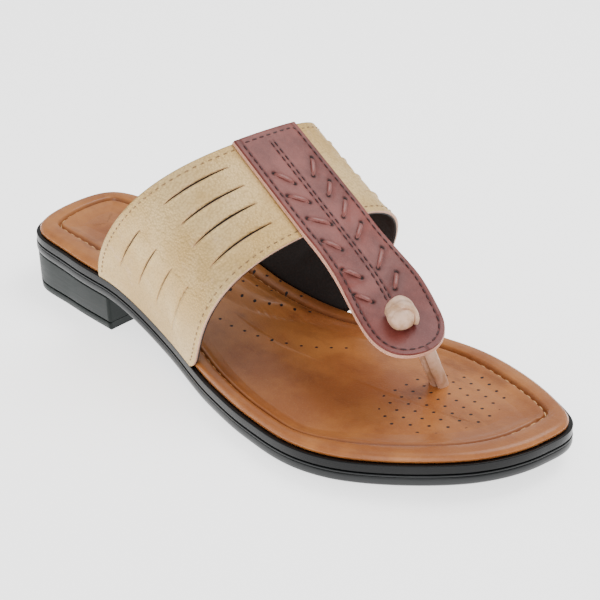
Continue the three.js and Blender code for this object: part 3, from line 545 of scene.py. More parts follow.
def punched(finish):
    """1 inside the punched holes and 0 outside. The toe holes stand in rows, each shifted against the last,
    inside an oval; each arch hole is a distance to its own place."""
    x = finish.along("X") + ORIGIN[0]
    y = finish.along("Y") + ORIGIN[1]
    row = (x - TOE_HOLES["first"][0]) / TOE_HOLES["row_step"]
    whole_row = row.math("ROUND")
    place = (y - TOE_HOLES["first"][1] + whole_row * TOE_HOLES["row_shift"]) / TOE_HOLES["hole_step"]
    ahead = (row - whole_row) * TOE_HOLES["row_step"]
    aside = (place - place.math("ROUND")) * TOE_HOLES["hole_step"]
    toe = (ahead * ahead + aside * aside).math("SQRT")
    oval_x = (x - TOE_OVAL["middle"][0]) / TOE_OVAL["half_size"][0]
    oval_y = (y - TOE_OVAL["middle"][1]) / TOE_OVAL["half_size"][1]
    toe = toe + (oval_x * oval_x + oval_y * oval_y).step(1.0, 1.01) * 10.0
    level = finish.node("ShaderNodeVectorMath", {"operation": "MULTIPLY"}, {0: finish.place, 1: (1, 1, 0)})
    nearest = toe
    for hole in ARCH_HOLES:
        at = (hole[0] - ORIGIN[0], hole[1] - ORIGIN[1], 0.0)
        gap = finish.node("ShaderNodeVectorMath", {"operation": "DISTANCE"}, {0: level, 1: at}, "Value")
        nearest = nearest.math("MINIMUM", gap)
    return nearest.step(HOLE_RADIUS + 0.18, HOLE_RADIUS - 0.1)


footbed_leather = Finish("footbed leather", specular_ior_level=0.4, coat_weight=0.2, coat_roughness=0.16)
shade = footbed_leather.noise(34, detail=5.0, roughness=0.62)
polish = footbed_leather.noise(9, detail=4.0, roughness=0.6, stretch=(2.2, 1, 1))
grain = footbed_leather.noise(0.5, detail=3.0)
pores = footbed_leather.pebbles(0.75)
holes = punched(footbed_leather)
seam_shade_mark = footbed_leather.node("ShaderNodeAttribute", {"attribute_name": "seam"}, {}, "Fac")
tan = footbed_leather.blend(shade.step(0.36, 0.66), paint(180, 114, 56), paint(150, 86, 38))
tan = footbed_leather.blend(polish.step(0.5, 0.78) * 0.6, tan, paint(112, 58, 24))
tan = footbed_leather.blend(grain.step(0.55, 0.8) * 0.2, tan, paint(214, 156, 96))
# Painted shade: the leather darkens in the seam's groove, from the "seam" attribute, with some darker burnish
# there too.
tan = footbed_leather.blend(seam_shade_mark, tan, paint(84, 38, 14))
# Inside the punched holes the leather is painted near black: painted shade of the holes' depth.
footbed_leather.set("Base Color", footbed_leather.blend(holes, tan, paint(28, 12, 8)))
footbed_leather.set("Roughness", 0.3 + shade * 0.14 + polish * 0.12 + holes * 0.3)
footbed_leather.relief(grain * 0.12 + pores * 0.12 + polish * 0.3 - holes, 0.3)

under_ring = ring_at(
    ring_turns, TRAY_WALL + TRAY_DEPTH + CLEARANCE, lambda x: edge_height(x) - TRAY_DEPTH + CLEARANCE,
)
footbed_rings = [drawn_in(under_ring, 0.97), under_ring]
footbed_rings.append(ring_at(ring_turns, TRAY_WALL + CLEARANCE, lambda x: edge_height(x) + CLEARANCE))
footbed_rings.append(ring_at(ring_turns, LEDGE_WIDTH, lambda x: edge_height(x) + CLEARANCE))
footbed_rings += [footbed_ring(rim) for rim in (0.0, 0.01, 0.03, 0.06)]
footbed_rings += [footbed_ring(rim) for rim in np.linspace(0.1, BED_EDGE, 84)]
footbed_rings += [bed_ring(share) for share in np.linspace(0.03, 0.97, 46)]
footbed = stacked_piece("footbed_cover", footbed_rings, footbed_leather)
# The "seam" attribute is painted shade in the groove, with some darker burnish: strongest at the seam and
# fading over the rim on both sides.
seam_shade_shares = [np.exp(-(((rim - 1) / 0.1) ** 2)) for rim in np.linspace(0.1, BED_EDGE, 84)]
seam_shade_values = np.concatenate([np.zeros(8), seam_shade_shares, np.zeros(46)])
seam_shade_attribute = footbed.data.attributes.new("seam", "FLOAT", "POINT")
seam_shade_attribute.data.foreach_set("value", np.repeat(seam_shade_values * 0.55, RING_POINTS).astype(np.float32))
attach(footbed, "root")
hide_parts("footbed")


# Thread in the footbed's seam.
# Light waxed thread in long stitches, one after the other in the groove inside the rolled rim.

SEAM_STITCH = 3.9
SEAM_GAP = 0.8
SEAM_THREAD_RADIUS = 0.5


def stitch_ends(line, stitch, gap):
    """Starts and ends of stitches along a line, each stitch long and a gap apart. The line's rows are a point
    and, where it has more columns, the upward direction there, which the starts keep."""
    steps = np.linalg.norm(np.diff(line[:, :3], axis=0), axis=1)
    reach = np.concatenate([[0.0], np.cumsum(steps)])
    first = np.arange(gap, reach[-1] - stitch, stitch + gap)
    starts = np.stack([np.interp(first, reach, column) for column in line.T], -1)
    ends = np.stack([np.interp(first + stitch, reach, column) for column in line.T[:3]], -1)
    return starts, ends


def stitch_piece(name, starts, ends, up, radius, finish, arch=0.6, flat=1.0):
    """Threads from each start to each end: a round bar that swells from nothing at its ends to its radius and
    arches up by a share of it. flat squeezes its height."""
    t = np.linspace(0, 1, 8)
    phi = np.arange(7) * 2 * np.pi / 7
    run = ends - starts
    forward = run / np.linalg.norm(run, axis=-1, keepdims=True)
    aside = np.cross(up, forward)
    aside /= np.linalg.norm(aside, axis=-1, keepdims=True)
    high = np.cross(forward, aside)
    thick = radius * np.sqrt(1 - np.abs(2 * t - 1) ** 3)
    lift = radius * arch * (1 - (2 * t - 1) ** 2) - 0.4 * radius
    centre = starts[:, None] + run[:, None] * t[:, None] + high[:, None] * lift[:, None]
    around = aside[:, None, None] * np.cos(phi)[:, None] + high[:, None, None] * np.sin(phi)[:, None] * flat
    points = centre[:, :, None] + around * thick[:, None, None]
    one = len(t) * len(phi)
    faces = []
    for k in range(len(starts)):
        faces += grid_faces(len(t), len(phi), round_columns=True, first=k * one)
    return new_piece(name, points, faces, finish, weld=0.004)


def thread(name, colour, twist=0.45):
    """Twisted thread: slanting plies, a slight colour change and a waxed gloss."""
    finish = Finish(name, roughness=0.5)
    plies = finish.noise(twist, detail=1.0)
    darker = tuple(part * 0.55 for part in colour[:3]) + (1.0,)
    finish.set("Base Color", finish.blend(plies.step(0.35, 0.65), darker, colour))
    finish.relief(plies, 0.15)
    return finish


seam_ring = footbed_ring(1.0)
seam_line = np.concatenate([seam_ring, seam_ring[:1]])
seam_starts, seam_ends = stitch_ends(seam_line, SEAM_STITCH, SEAM_GAP)
seam_up = np.tile([0.0, 0.0, 1.0], (len(seam_starts), 1))
seam_thread = stitch_piece(
    "footbed_thread", seam_starts, seam_ends, seam_up, SEAM_THREAD_RADIUS,
    thread("light thread", paint(236, 184, 126)),
)
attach(seam_thread, "root")


# Vamp.
# Pebbled metallic beige leather that arches over the instep, cut with two tiers of four slits on each side,
# and lined with thin black-brown leather. Its feet are turned in under the footbed's rim.

VAMP_LEATHER = 1.0
LINING = 0.55
INSTEP_HEIGHT = 85.8
VAMP_FRONT_HEIGHT = 62.7
SLIT_WIDTH = 1.4
SLIT_PUFF = 0.4
SLIT_GAPE = 0.85
# Rear and front values of each side: foot's place along the sole, lean in degrees, pulls of the wall and the
# top (shares of the height and of half the ball width), and how the arch runs forward as it climbs.
VAMP_SIDES = {
    -1: np.array([(0.24, 18.2, 0.83, 0.935, 1.29), (0.494, 25.5, 0.89, 0.788, 0.66)]),
    1: np.array([(0.242, 16.5, 0.86, 0.967, 0.96), (0.52, 30, 0.89, 0.812, 0.6)]),
}
VAMP_CREST = np.array([
    (0.445 * SOLE_LENGTH, 0.092 * BALL_WIDTH, INSTEP_HEIGHT),
    (0.598 * SOLE_LENGTH, 0.081 * BALL_WIDTH, VAMP_FRONT_HEIGHT),
])
# Four lines of slits from the rear edge to the front. Each slit has its place between the edges, and its
# lower and upper end as shares of the way from foot to crest: outer low, outer high, inner high, inner low.
SLIT_LINES = [
    [(0.19, 0.105, 0.315), (0.18, 0.48, 0.81), (0.2, 0.35, 0.69), (0.19, 0.06, 0.19)],
    [(0.37, 0.1, 0.31), (0.385, 0.475, 0.81), (0.39, 0.355, 0.71), (0.37, 0.06, 0.19)],
    [(0.545, 0.095, 0.3), (0.57, 0.455, 0.8), (0.57, 0.355, 0.72), (0.545, 0.06, 0.19)],
    [(0.73, 0.065, 0.31), (0.78, 0.46, 0.8), (0.77, 0.365, 0.725), (0.73, 0.06, 0.19)],
]


def vamp_side(side, climb, band):
    """Points of one side of the arch. y and z follow a cubic with four pull points from the foot over the wall
    and the top to the crest, and x runs from the foot to the crest with a power of the height reached."""
    foot_share, lean, rise, reach, sweep = (mix(*VAMP_SIDES[side][:, k], band) for k in range(5))
    foot = outline(turn_at(foot_share * SOLE_LENGTH, side))
    foot_x, foot_y = foot[..., 0], foot[..., 1]
    foot_z = edge_height(foot_x) + CLEARANCE
    top_x, top_y, top_z = (mix(VAMP_CREST[0, k], VAMP_CREST[1, k], band) for k in range(3))
    pull = rise * (top_z - foot_z)
    wall_y = foot_y + side * pull * np.sin(np.radians(lean))
    wall_z = foot_z + pull * np.cos(np.radians(lean))
    over_y = top_y + side * reach * BALL_WIDTH / 2
    weights = ((1 - climb) ** 3, 3 * climb * (1 - climb) ** 2, 3 * climb**2 * (1 - climb), climb**3)
    y = sum(w * part for w, part in zip(weights, (foot_y, wall_y, over_y, top_y)))
    z = sum(w * part for w, part in zip(weights, (foot_z, wall_z, top_z, top_z)))
    climbed = np.maximum(z - foot_z, 0) / (top_z - foot_z)
    return np.stack([foot_x + (top_x - foot_x) * climbed**sweep, y, z], -1)


def vamp_face(across, band):
    """Outer face of the vamp: across runs from -1 at the outer foot to 1 at the inner foot, band from 0 at the
    rear edge to 1 at the front edge."""
    across, band = np.broadcast_arrays(np.asarray(across, float), np.asarray(band, float))
    climb = 1 - np.abs(across)
    outer = vamp_side(-1, climb, band)
    inner = vamp_side(1, climb, band)
    return np.where((across < 0)[..., None], outer, inner)


def vamp_normal(across, band, step=0.01):
    """Outward direction of the vamp's face: its forward direction crossed with its direction across."""
    forward = vamp_face(across, np.minimum(band + step, 1)) - vamp_face(across, np.maximum(band - step, 0))
    inward = vamp_face(np.minimum(across + step, 1), band) - vamp_face(np.maximum(across - step, -1), band)
    normal = np.cross(forward, inward)
    return normal / np.linalg.norm(normal, axis=-1, keepdims=True)


def over_vamp(across, band, lift):
    """Point at a height over the vamp's face."""
    return vamp_face(across, band) + vamp_normal(across, band) * np.asarray(lift)[..., None]


def slit_line(line, across):
    """Place of one line of slits between the edges, and how open it is there, from 0 to 1: a half circle along
    each slit and nothing between them."""
    knots = []
    opening = np.zeros_like(across)
    for slit, side in zip(line, (-1, -1, 1, 1)):
        ends = sorted((side * (1 - slit[1]), side * (1 - slit[2])))
        knots += [(ends[0], slit[0]), (ends[1], slit[0])]
        along = (2 * across - ends[0] - ends[1]) / (ends[1] - ends[0])
        opening = np.maximum(opening, np.sqrt(np.clip(1 - along**2, 0, 1)))
    return along_rows(np.array(knots), 1, across), opening


def vamp_shell(name, lift, width, finish, gape=SLIT_GAPE, columns=361, rows=15):
    """Open shell at a height over the vamp's face. Strips run between the lines of slits; each strip's borders
    stand apart from the lines by half the slit's width, so that welding the strips leaves the slits open, or
    closed where the width is 0. A strip between two slits puffs out, and its rear border gapes a little."""
    across = np.linspace(-1, 1, columns)
    length = np.linalg.norm(vamp_face(across, 0.55) - vamp_face(across, 0.45), axis=-1) / 0.1
    edges = [(np.zeros(columns), np.zeros(columns))]
    edges += [slit_line(line, across) for line in SLIT_LINES]
    edges.append((np.ones(columns), np.zeros(columns)))
    t = np.linspace(0, 1, rows)
    points, faces = [], []
    for strip in range(len(edges) - 1):
        (rear, rear_open), (front, front_open) = edges[strip], edges[strip + 1]
        low = rear + 0.5 * width * rear_open / length
        high = front - 0.5 * width * front_open / length
        band = mix(low[:, None], high[:, None], t)
        puff = SLIT_PUFF * np.sqrt(rear_open * front_open)[:, None] * np.sin(np.pi * t)
        raised = gape * rear_open[:, None] * np.exp(-t / 0.1)
        sunk = 0.4 * gape * front_open[:, None] * np.exp((t - 1) / 0.1)
        place = np.broadcast_to(across[:, None], band.shape)
        points.append(over_vamp(place, band, lift + puff + raised - sunk).reshape(-1, 3))
        faces += grid_faces(columns, rows, first=strip * columns * rows)
    return new_piece(name, np.concatenate(points), faces, finish, weld=0.02)


def thicken(piece, thickness, edge_finish):
    """Wall of that thickness behind the face, with its own finish on the cut edges."""
    piece.data.materials.append(edge_finish.material)
    wall = piece.modifiers.new("wall", "SOLIDIFY")
    wall.thickness = thickness * MM
    wall.offset = -1.0
    wall.material_offset_rim = 1


vamp_leather = Finish("vamp leather", metallic=0.3, specular_ior_level=0.4)
pebble = vamp_leather.pebbles(0.95)
crinkle = vamp_leather.noise(0.55, detail=3.0)
cloud = vamp_leather.noise(26, detail=3.0)
wear = vamp_leather.noise(5.5, detail=5.0, roughness=0.65)
beige = vamp_leather.blend(cloud.step(0.35, 0.65), paint(222, 190, 134), paint(202, 166, 102))
beige = vamp_leather.blend(wear.step(0.55, 0.75) * 0.35, beige, paint(230, 196, 164))
beige = vamp_leather.blend(pebble.step(0.35, 0.85) * 0.34, beige, paint(158, 124, 70))
vamp_leather.set("Base Color", beige)
vamp_leather.set("Roughness", 0.4 + crinkle * 0.14 + wear * 0.06)
vamp_leather.relief(crinkle * 0.4 - pebble * 0.6, 0.34)

cut_edge = Finish("cut leather edge", roughness=0.6)
fibre = cut_edge.noise(0.35, detail=2.0)
cut_edge.set("Base Color", cut_edge.blend(fibre, paint(190, 142, 116), paint(232, 192, 164)))
cut_edge.relief(fibre, 0.12)

lining_leather = Finish("lining leather", roughness=0.6)
nap = lining_leather.noise(0.6, detail=3.0)
lining_leather.set("Base Color", lining_leather.blend(nap, paint(18, 13, 12), paint(40, 29, 25)))
lining_leather.relief(nap, 0.1)

vamp = vamp_shell("vamp_cover", 0.0, SLIT_WIDTH, vamp_leather)
thicken(vamp, VAMP_LEATHER, cut_edge)
vamp_lining = vamp_shell(
    "vamp_lining", -VAMP_LEATHER - 0.03, 0.0, lining_leather, gape=0.0, columns=241, rows=8,
)
thicken(vamp_lining, LINING, lining_leather)
for piece in (vamp, vamp_lining):
    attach(piece, "root")
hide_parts("vamp")


# Edge stitching of the vamp.
# Brown thread in short stitches a little inside the rear and front edges, from one foot to the other.

VAMP_STITCH_INSET = 2.6
VAMP_STITCH = 1.9
VAMP_STITCH_GAP = 1.3


def vamp_stitch_line(front):
    """Line on the vamp's face at a fixed distance from its rear or front edge, with the face's direction."""
    across = np.linspace(-0.985, 0.985, 500)
    length = np.linalg.norm(vamp_face(across, 0.55) - vamp_face(across, 0.45), axis=-1) / 0.1
    inset = VAMP_STITCH_INSET / length
    band = 1 - inset if front else inset
    return np.concatenate([over_vamp(across, band, 0 * across + 0.04), vamp_normal(across, band)], -1)


vamp_rows = [stitch_ends(vamp_stitch_line(front), VAMP_STITCH, VAMP_STITCH_GAP) for front in (False, True)]
vamp_starts = np.concatenate([starts for starts, _ in vamp_rows])
vamp_ends = np.concatenate([ends for _, ends in vamp_rows])
vamp_thread = stitch_piece(
    "vamp_thread", vamp_starts[:, :3], vamp_ends, vamp_starts[:, 3:], 0.27,
    thread("brown thread", paint(160, 126, 82)),
)
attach(vamp_thread, "root")


# T strap.
# Smooth burgundy-brown leather on a pale backing, stitched down along the crest of the vamp. It runs on
# forward over the foot, drops towards the toes and ends round. Its rear end is flush with the vamp's edge.

STRAP_WIDTH = 31.0
STRAP_REAR_WIDTH = 0.97
STRAP_END_WIDTH = 0.94
STRAP_THICKNESS = 1.8
STRAP_REACH = 55.5
STRAP_DRIFT = 9.6
STRAP_TIP_HEIGHT = 36.8
STRAP_END_ROUND = 13.0
STRAP_TILT = 4.0
STRAP_ROWS = np.array([(0.4, 0.06, 0.52), (0.79, 0.87, 0.84), (1.0, 1.0, 1.0)])
CREST_Y = VAMP_CREST[:, 1]


def on_curve(points, share):
    """Point on a smooth open curve through the points, whose speed follows the square root of their distances.
    share runs from 0 to 1, with equal shares for the spans."""
    ends = np.concatenate([[2 * points[0] - points[1]], points, [2 * points[-1] - points[-2]]])
    place = np.clip(share, 0, 1) * (len(points) - 1)
    k = np.minimum(np.floor(place).astype(int), len(points) - 2)
    t = (place - k)[..., None]
    a, b, c, d = (ends[k + step] for step in range(4))
    before, here, after = (
        np.linalg.norm(q - p, axis=-1, keepdims=True) ** 0.5 for p, q in ((a, b), (b, c), (c, d))
    )
    leaving = here * ((b - a) / before - (c - a) / (before + here) + (c - b) / here)
    arriving = here * ((c - b) / here - (d - b) / (here + after) + (d - c) / after)
    square = 3 * (c - b) - 2 * leaving - arriving
    cube = 2 * (b - c) + leaving + arriving
    return b + leaving * t + square * t**2 + cube * t**3


def unit(vectors):
    """The vectors with length 1."""
    return vectors / np.linalg.norm(vectors, axis=-1, keepdims=True)


def strap_on_vamp(band, aside, lift):
    """Point over the vamp at a distance aside from the crest line. The place across is found by halving."""
    target = mix(*CREST_Y, band) + aside
    low, high = np.full(target.shape, -0.6), np.full(target.shape, 0.6)
    for _ in range(24):
        middle = (low + high) / 2
        less = vamp_face(middle, band)[..., 1] < target
        low, high = np.where(less, middle, low), np.where(less, high, middle)
    return over_vamp(middle, band, lift)


STRAP_TOP = CLEARANCE + STRAP_THICKNESS
joint_aside = np.linspace(-1, 1, 41) * STRAP_WIDTH / 2
joint_line = strap_on_vamp(np.ones(41), joint_aside, np.full(41, STRAP_TOP))
joint_top = joint_line[20]
before_joint = strap_on_vamp(np.array([0.5]), np.array([0.0]), np.array([STRAP_TOP]))[0]
fall = joint_top[2] - STRAP_TIP_HEIGHT
free_points = joint_top + STRAP_ROWS * (STRAP_REACH, -STRAP_DRIFT, -fall)
strap_path = np.concatenate([[before_joint, joint_top], free_points])


def strap_frame(share):
    """Middle of the strap's face, its forward, inner and upward direction on the free part. The inner side is
    tipped up by the tilt, which comes in over the first 0.7 of the way."""
    spans = len(strap_path) - 1
    t = (1 + share * (spans - 1)) / spans
    middle = on_curve(strap_path, t)
    forward = unit(on_curve(strap_path, t + 1e-4) - on_curve(strap_path, t - 1e-4))
    level = unit(np.stack([-forward[..., 1], forward[..., 0], 0 * forward[..., 0]], -1))
    angle = np.radians(STRAP_TILT * smooth(share, 0, 0.7))[..., None]
    side = level * np.cos(angle) + np.cross(forward, level) * np.sin(angle)
    return middle, forward, side, np.cross(forward, side)


# Distances along the strap's middle, from its rear end, at fixed places on the vamp and on the free part.
band_table = np.linspace(0, 1, 81)
crest_line = strap_on_vamp(band_table, 0 * band_table, 0 * band_table + STRAP_TOP)
band_reach = np.append(0.0, np.cumsum(np.linalg.norm(np.diff(crest_line, axis=0), axis=1)))
share_table = np.linspace(0, 0.9999, 241)
free_line = strap_frame(share_table)[0]
share_reach = band_reach[-1] + np.append(0.0, np.cumsum(np.linalg.norm(np.diff(free_line, axis=0), axis=1)))
STRAP_LENGTH = share_reach[-1]


def strap_place(reach, aside, lift=0.0):
    """Point over the strap's face: reach is the distance along its middle from the rear end, aside the
    distance to the inner side, and lift the height. On the vamp it follows the arch; further on the arch's
    sag fades out. Where they meet it is the mean of five points a little apart."""
    reach, aside, lift = np.broadcast_arrays(reach, aside, lift)
    spread = 1.8 * np.exp(-(((reach - band_reach[-1]) / 5) ** 2))
    weighted = ((-2, 0.1), (-1, 0.25), (0, 0.3), (1, 0.25), (2, 0.1))
    return sum(weight * strap_point(reach + step * spread, aside, lift) for step, weight in weighted)


def strap_point(reach, aside, lift):
    """The same point before the fold where the strap leaves the vamp is softened."""
    band = np.interp(reach, band_reach, band_table)
    share = np.interp(reach, share_reach, share_table)
    on_vamp = strap_on_vamp(band, aside, STRAP_TOP + lift)
    middle, _, side, normal = strap_frame(share)
    sag = np.interp(aside, joint_aside, joint_top[2] - joint_line[:, 2])
    kept = 1 - smooth(share, 0, 0.8)
    free = middle + side * aside[..., None] + normal * (lift - sag * kept)[..., None]
    return np.where((reach < band_reach[-1])[..., None], on_vamp, free)


def half_width(reach, inset=0.0):
    """Half the strap's width, less an inset all round, from the rear width over the full one to the round
    end."""
    band = np.interp(reach, band_reach, band_table)
    share = np.interp(reach, share_reach, share_table)
    rear = mix(STRAP_REAR_WIDTH, 1.0, band)
    width = rear * mix(1.0, STRAP_END_WIDTH, smooth(share, 0.2, 0.8))
    left = (STRAP_LENGTH - inset - reach) / (STRAP_END_ROUND - inset)
    rounding = np.sqrt(np.clip(1 - np.clip(1 - left, 0, 1) ** 2.3, 0.0004, 1))
    return (STRAP_WIDTH / 2 * width - inset) * rounding


strap_reaches = np.concatenate([
    np.linspace(0, STRAP_LENGTH - STRAP_END_ROUND, 210)[:-1],
    STRAP_LENGTH - STRAP_END_ROUND * (1 - np.sin(np.linspace(0, np.pi / 2, 40))),
])


def strap_layer(name, top, bottom, inset, arris, finish, relief=None, columns=81):
    """Closed layer of the strap between two heights over its face: the top falls away over the rounded arris
    at its edges, and relief(reach, aside) adds to its height."""
    share = np.sin(np.linspace(-np.pi / 2, np.pi / 2, columns))
    reach = strap_reaches[:, None] * (1 - inset / STRAP_LENGTH)
    reach = np.broadcast_to(reach, (len(strap_reaches), columns))
    reach = np.clip(reach, 0.02, None)
    half = half_width(reach, inset)
    aside = half * share
    edge = np.minimum(half * (1 - np.abs(share)), reach)
    drop = arris - np.sqrt(np.clip(arris**2 - np.clip(arris - edge, 0, arris) ** 2, 0, None))
    raised = relief(reach, aside) if relief else 0.0
    upper = strap_place(reach, aside, top - drop + raised)
    lower = strap_place(reach, aside, bottom)
    loops = np.concatenate([upper, lower[:, ::-1]], 1)
    rows, count = loops.shape[:2]
    faces = [face[::-1] for face in grid_faces(rows, count, round_columns=True)]
    i = np.arange(columns - 1)
    cap = np.stack([i, i + 1, count - 2 - i, count - 1 - i], -1)
    faces += cap.tolist() + (cap[:, ::-1] + (rows - 1) * count).tolist()
    piece = new_piece(name, loops, faces, finish)
    return piece, np.concatenate([reach, reach[:, ::-1]], 1), np.concatenate([aside, aside[:, ::-1]], 1)


# Laced stitches: reach and distance aside of the two holes of each, on the outer and on the inner side.
LACES = np.array([
    (18.5, -9.8, 25.5, -5.0), (29.0, -11.1, 34.8, -4.9), (40.3, -10.4, 46.1, -3.3),
    (50.5, -11.4, 56.6, -6.7), (63.8, -11.6, 70.1, -6.4), (76.8, -12.0, 82.2, -7.0),
    (17.4, 9.5, 25.1, 4.3), (29.0, 9.3, 34.8, 4.2), (38.1, 9.9, 45.1, 3.4),
    (49.6, 9.0, 54.8, 2.2), (61.6, 9.3, 68.5, 1.6), (71.8, 7.3, 78.5, 2.8),
])
LACE_HOLE = 0.75
CENTRE_ROWS = (-1.85, -0.25)
CENTRE_REACH = (5.0, 84.0)
EDGE_SEAM = 2.5


def lace_gap(reach, aside):
    """Distance to the nearest laced stitch, and to the nearest of their holes."""
    place = np.stack([reach, aside], -1)[..., None, :]
    start, end = LACES[:, :2], LACES[:, 2:]
    run = end - start
    share = np.clip(((place - start) * run).sum(-1) / (run**2).sum(-1), 0, 1)
    to_lace = np.linalg.norm(place - start - run * share[..., None], axis=-1).min(-1)
    to_start = np.linalg.norm(place - start, axis=-1).min(-1)
    to_end = np.linalg.norm(place - end, axis=-1).min(-1)
    return to_lace, np.minimum(to_start, to_end)


def strap_relief(reach, aside):
    """Height of the strap's face: it is drawn up a little along the laced stitches, sinks at their holes, and
    is pressed down under the centre rows and the edge seam."""
    to_lace, to_hole = lace_gap(reach, aside)
    pulled = 0.3 * np.exp(-((to_lace / 1.7) ** 2)) - 0.75 * np.exp(-((to_hole / LACE_HOLE) ** 2))
    length = smooth(reach, 3, 6) * (1 - smooth(reach, 83, 86))
    rows = sum(0.16 * np.exp(-(((aside - row) / 0.4) ** 2)) for row in CENTRE_ROWS) * length
    seam = half_width(reach, EDGE_SEAM) - np.abs(aside)
    return pulled - rows - 0.14 * np.exp(-((seam / 0.45) ** 2))


strap_leather = Finish("strap leather", specular_ior_level=0.35, coat_weight=0.1, coat_roughness=0.25)
tone = strap_leather.noise(15, detail=4.0, roughness=0.6)
skin = strap_leather.noise(0.5, detail=3.0)
wrinkle = strap_leather.pebbles(1.1)
# Painted shade: the strap darkens towards its round end, where the knot shades it and it reflects less sheen.
tip_shade = strap_leather.along("X").step(50.0, 80.0)
# The "hole" attribute is painted shade: near black in the lace holes, a shadow beside each lace, and dark
# lines in the pressed channels of the edge seam and the centre rows.
stitch_shade_mark = strap_leather.node("ShaderNodeAttribute", {"attribute_name": "hole"}, {}, "Fac")
burgundy = strap_leather.blend(tone.step(0.35, 0.68), paint(130, 64, 56), paint(98, 42, 36))
burgundy = strap_leather.blend(tip_shade * 0.6, burgundy, paint(94, 30, 28))
burgundy = strap_leather.blend(skin.step(0.5, 0.8) * 0.2, burgundy, paint(152, 92, 86))
strap_leather.set("Base Color", strap_leather.blend(stitch_shade_mark, burgundy, paint(20, 6, 6)))
strap_leather.set("Roughness", 0.42 + tone * 0.12 + stitch_shade_mark * 0.3)
strap_leather.relief(skin * 0.55 - wrinkle * 0.25, 0.12)

pale_edge = Finish("pale strap edge", roughness=0.5)
edge_tone = pale_edge.noise(1.2, detail=3.0)
pale_edge.set("Base Color", pale_edge.blend(edge_tone, paint(202, 142, 118), paint(232, 180, 156)))
pale_edge.relief(edge_tone, 0.1)

strap, face_reach, face_aside = strap_layer(
    "strap_cover", 0.0, -0.68, 0.45, 0.4, strap_leather, relief=strap_relief, columns=101,
)
to_lace, to_hole = lace_gap(face_reach, face_aside)
seam_gap = half_width(face_reach, EDGE_SEAM) - np.abs(face_aside)
row_gap = np.minimum(np.abs(face_aside - CENTRE_ROWS[0]), np.abs(face_aside - CENTRE_ROWS[1]))
row_gap = np.where((face_reach > CENTRE_REACH[0]) & (face_reach < CENTRE_REACH[1]), row_gap, 9.0)
# Painted shade for the "hole" attribute: the lace holes, a shadow beside each lace and the pressed stitch
# channels, none on the underside.
stitch_shade_share = np.exp(-((to_hole / (LACE_HOLE * 0.9)) ** 2)) * 1.3
stitch_shade_share += 0.4 * np.exp(-((to_lace / 1.35) ** 2))
stitch_shade_share += 0.42 * np.exp(-((seam_gap / 0.5) ** 2)) + 0.4 * np.exp(-((row_gap / 0.42) ** 2))
stitch_shade_share[:, 101:] = 0
stitch_shade_attribute = strap.data.attributes.new("hole", "FLOAT", "POINT")
stitch_shade_attribute.data.foreach_set("value", np.clip(stitch_shade_share, 0, 1).astype(np.float32).ravel())
upper_backing = strap_layer("strap_backing", -0.72, -1.18, 0.12, 0.2, pale_edge, columns=41)[0]
lower_backing = strap_layer("strap_under_backing", -1.26, -1.8, 0.0, 0.2, pale_edge, columns=41)[0]
for piece in (strap, upper_backing, lower_backing):
    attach(piece, "root")
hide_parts("t_strap")


# Stitching and lacing of the T strap.
# Dark thread holds it all round a little inside its edge, two close rows run down its middle, and short
# flat laces of the same leather slant through pairs of holes on both sides.

EDGE_STITCH = 2.6
EDGE_STITCH_GAP = 0.75


def strap_line(reach, aside, lift=0.02):
    """Line on the strap's face, with the face's direction."""
    line = strap_place(reach, aside, lift)
    return np.concatenate([line, unit(strap_place(reach, aside, lift + 1.0) - line)], -1)


seam_reach = np.concatenate([
    np.linspace(EDGE_SEAM, STRAP_LENGTH - STRAP_END_ROUND, 160)[:-1],
    STRAP_LENGTH - EDGE_SEAM - (STRAP_END_ROUND - EDGE_SEAM) * (1 - np.sin(np.linspace(0, np.pi / 2, 60))),
])
seam_half = half_width(seam_reach, EDGE_SEAM)
rear_aside = np.linspace(seam_half[0], -seam_half[0], 60)
loop_reach = np.concatenate([seam_reach, seam_reach[::-1], np.full(60, EDGE_SEAM)])
loop_aside = np.concatenate([-seam_half, seam_half[::-1], rear_aside])
strap_rows = [stitch_ends(strap_line(loop_reach, loop_aside, -0.08), EDGE_STITCH, EDGE_STITCH_GAP)]
centre_reach = np.linspace(*CENTRE_REACH, 200)
for row in CENTRE_ROWS:
    strap_rows.append(stitch_ends(strap_line(centre_reach, np.full(200, row), -0.1), 2.6, 0.9))
thread_starts = np.concatenate([starts for starts, _ in strap_rows])
thread_ends = np.concatenate([ends for _, ends in strap_rows])
strap_thread = stitch_piece(
    "strap_thread", thread_starts[:, :3], thread_ends, thread_starts[:, 3:], 0.34,
    thread("burgundy thread", paint(66, 26, 26)),
)
lace_starts = strap_line(LACES[:, 0], LACES[:, 1], -0.1)
lace_ends = strap_line(LACES[:, 2], LACES[:, 3], -0.1)
lace_leather = Finish("lace leather", roughness=0.4, coat_weight=0.1, coat_roughness=0.2)
lace_skin = lace_leather.noise(0.6, detail=3.0)
lace_leather.set("Base Color", lace_leather.blend(lace_skin, paint(108, 52, 46), paint(146, 84, 76)))
lace_leather.relief(lace_skin, 0.08)


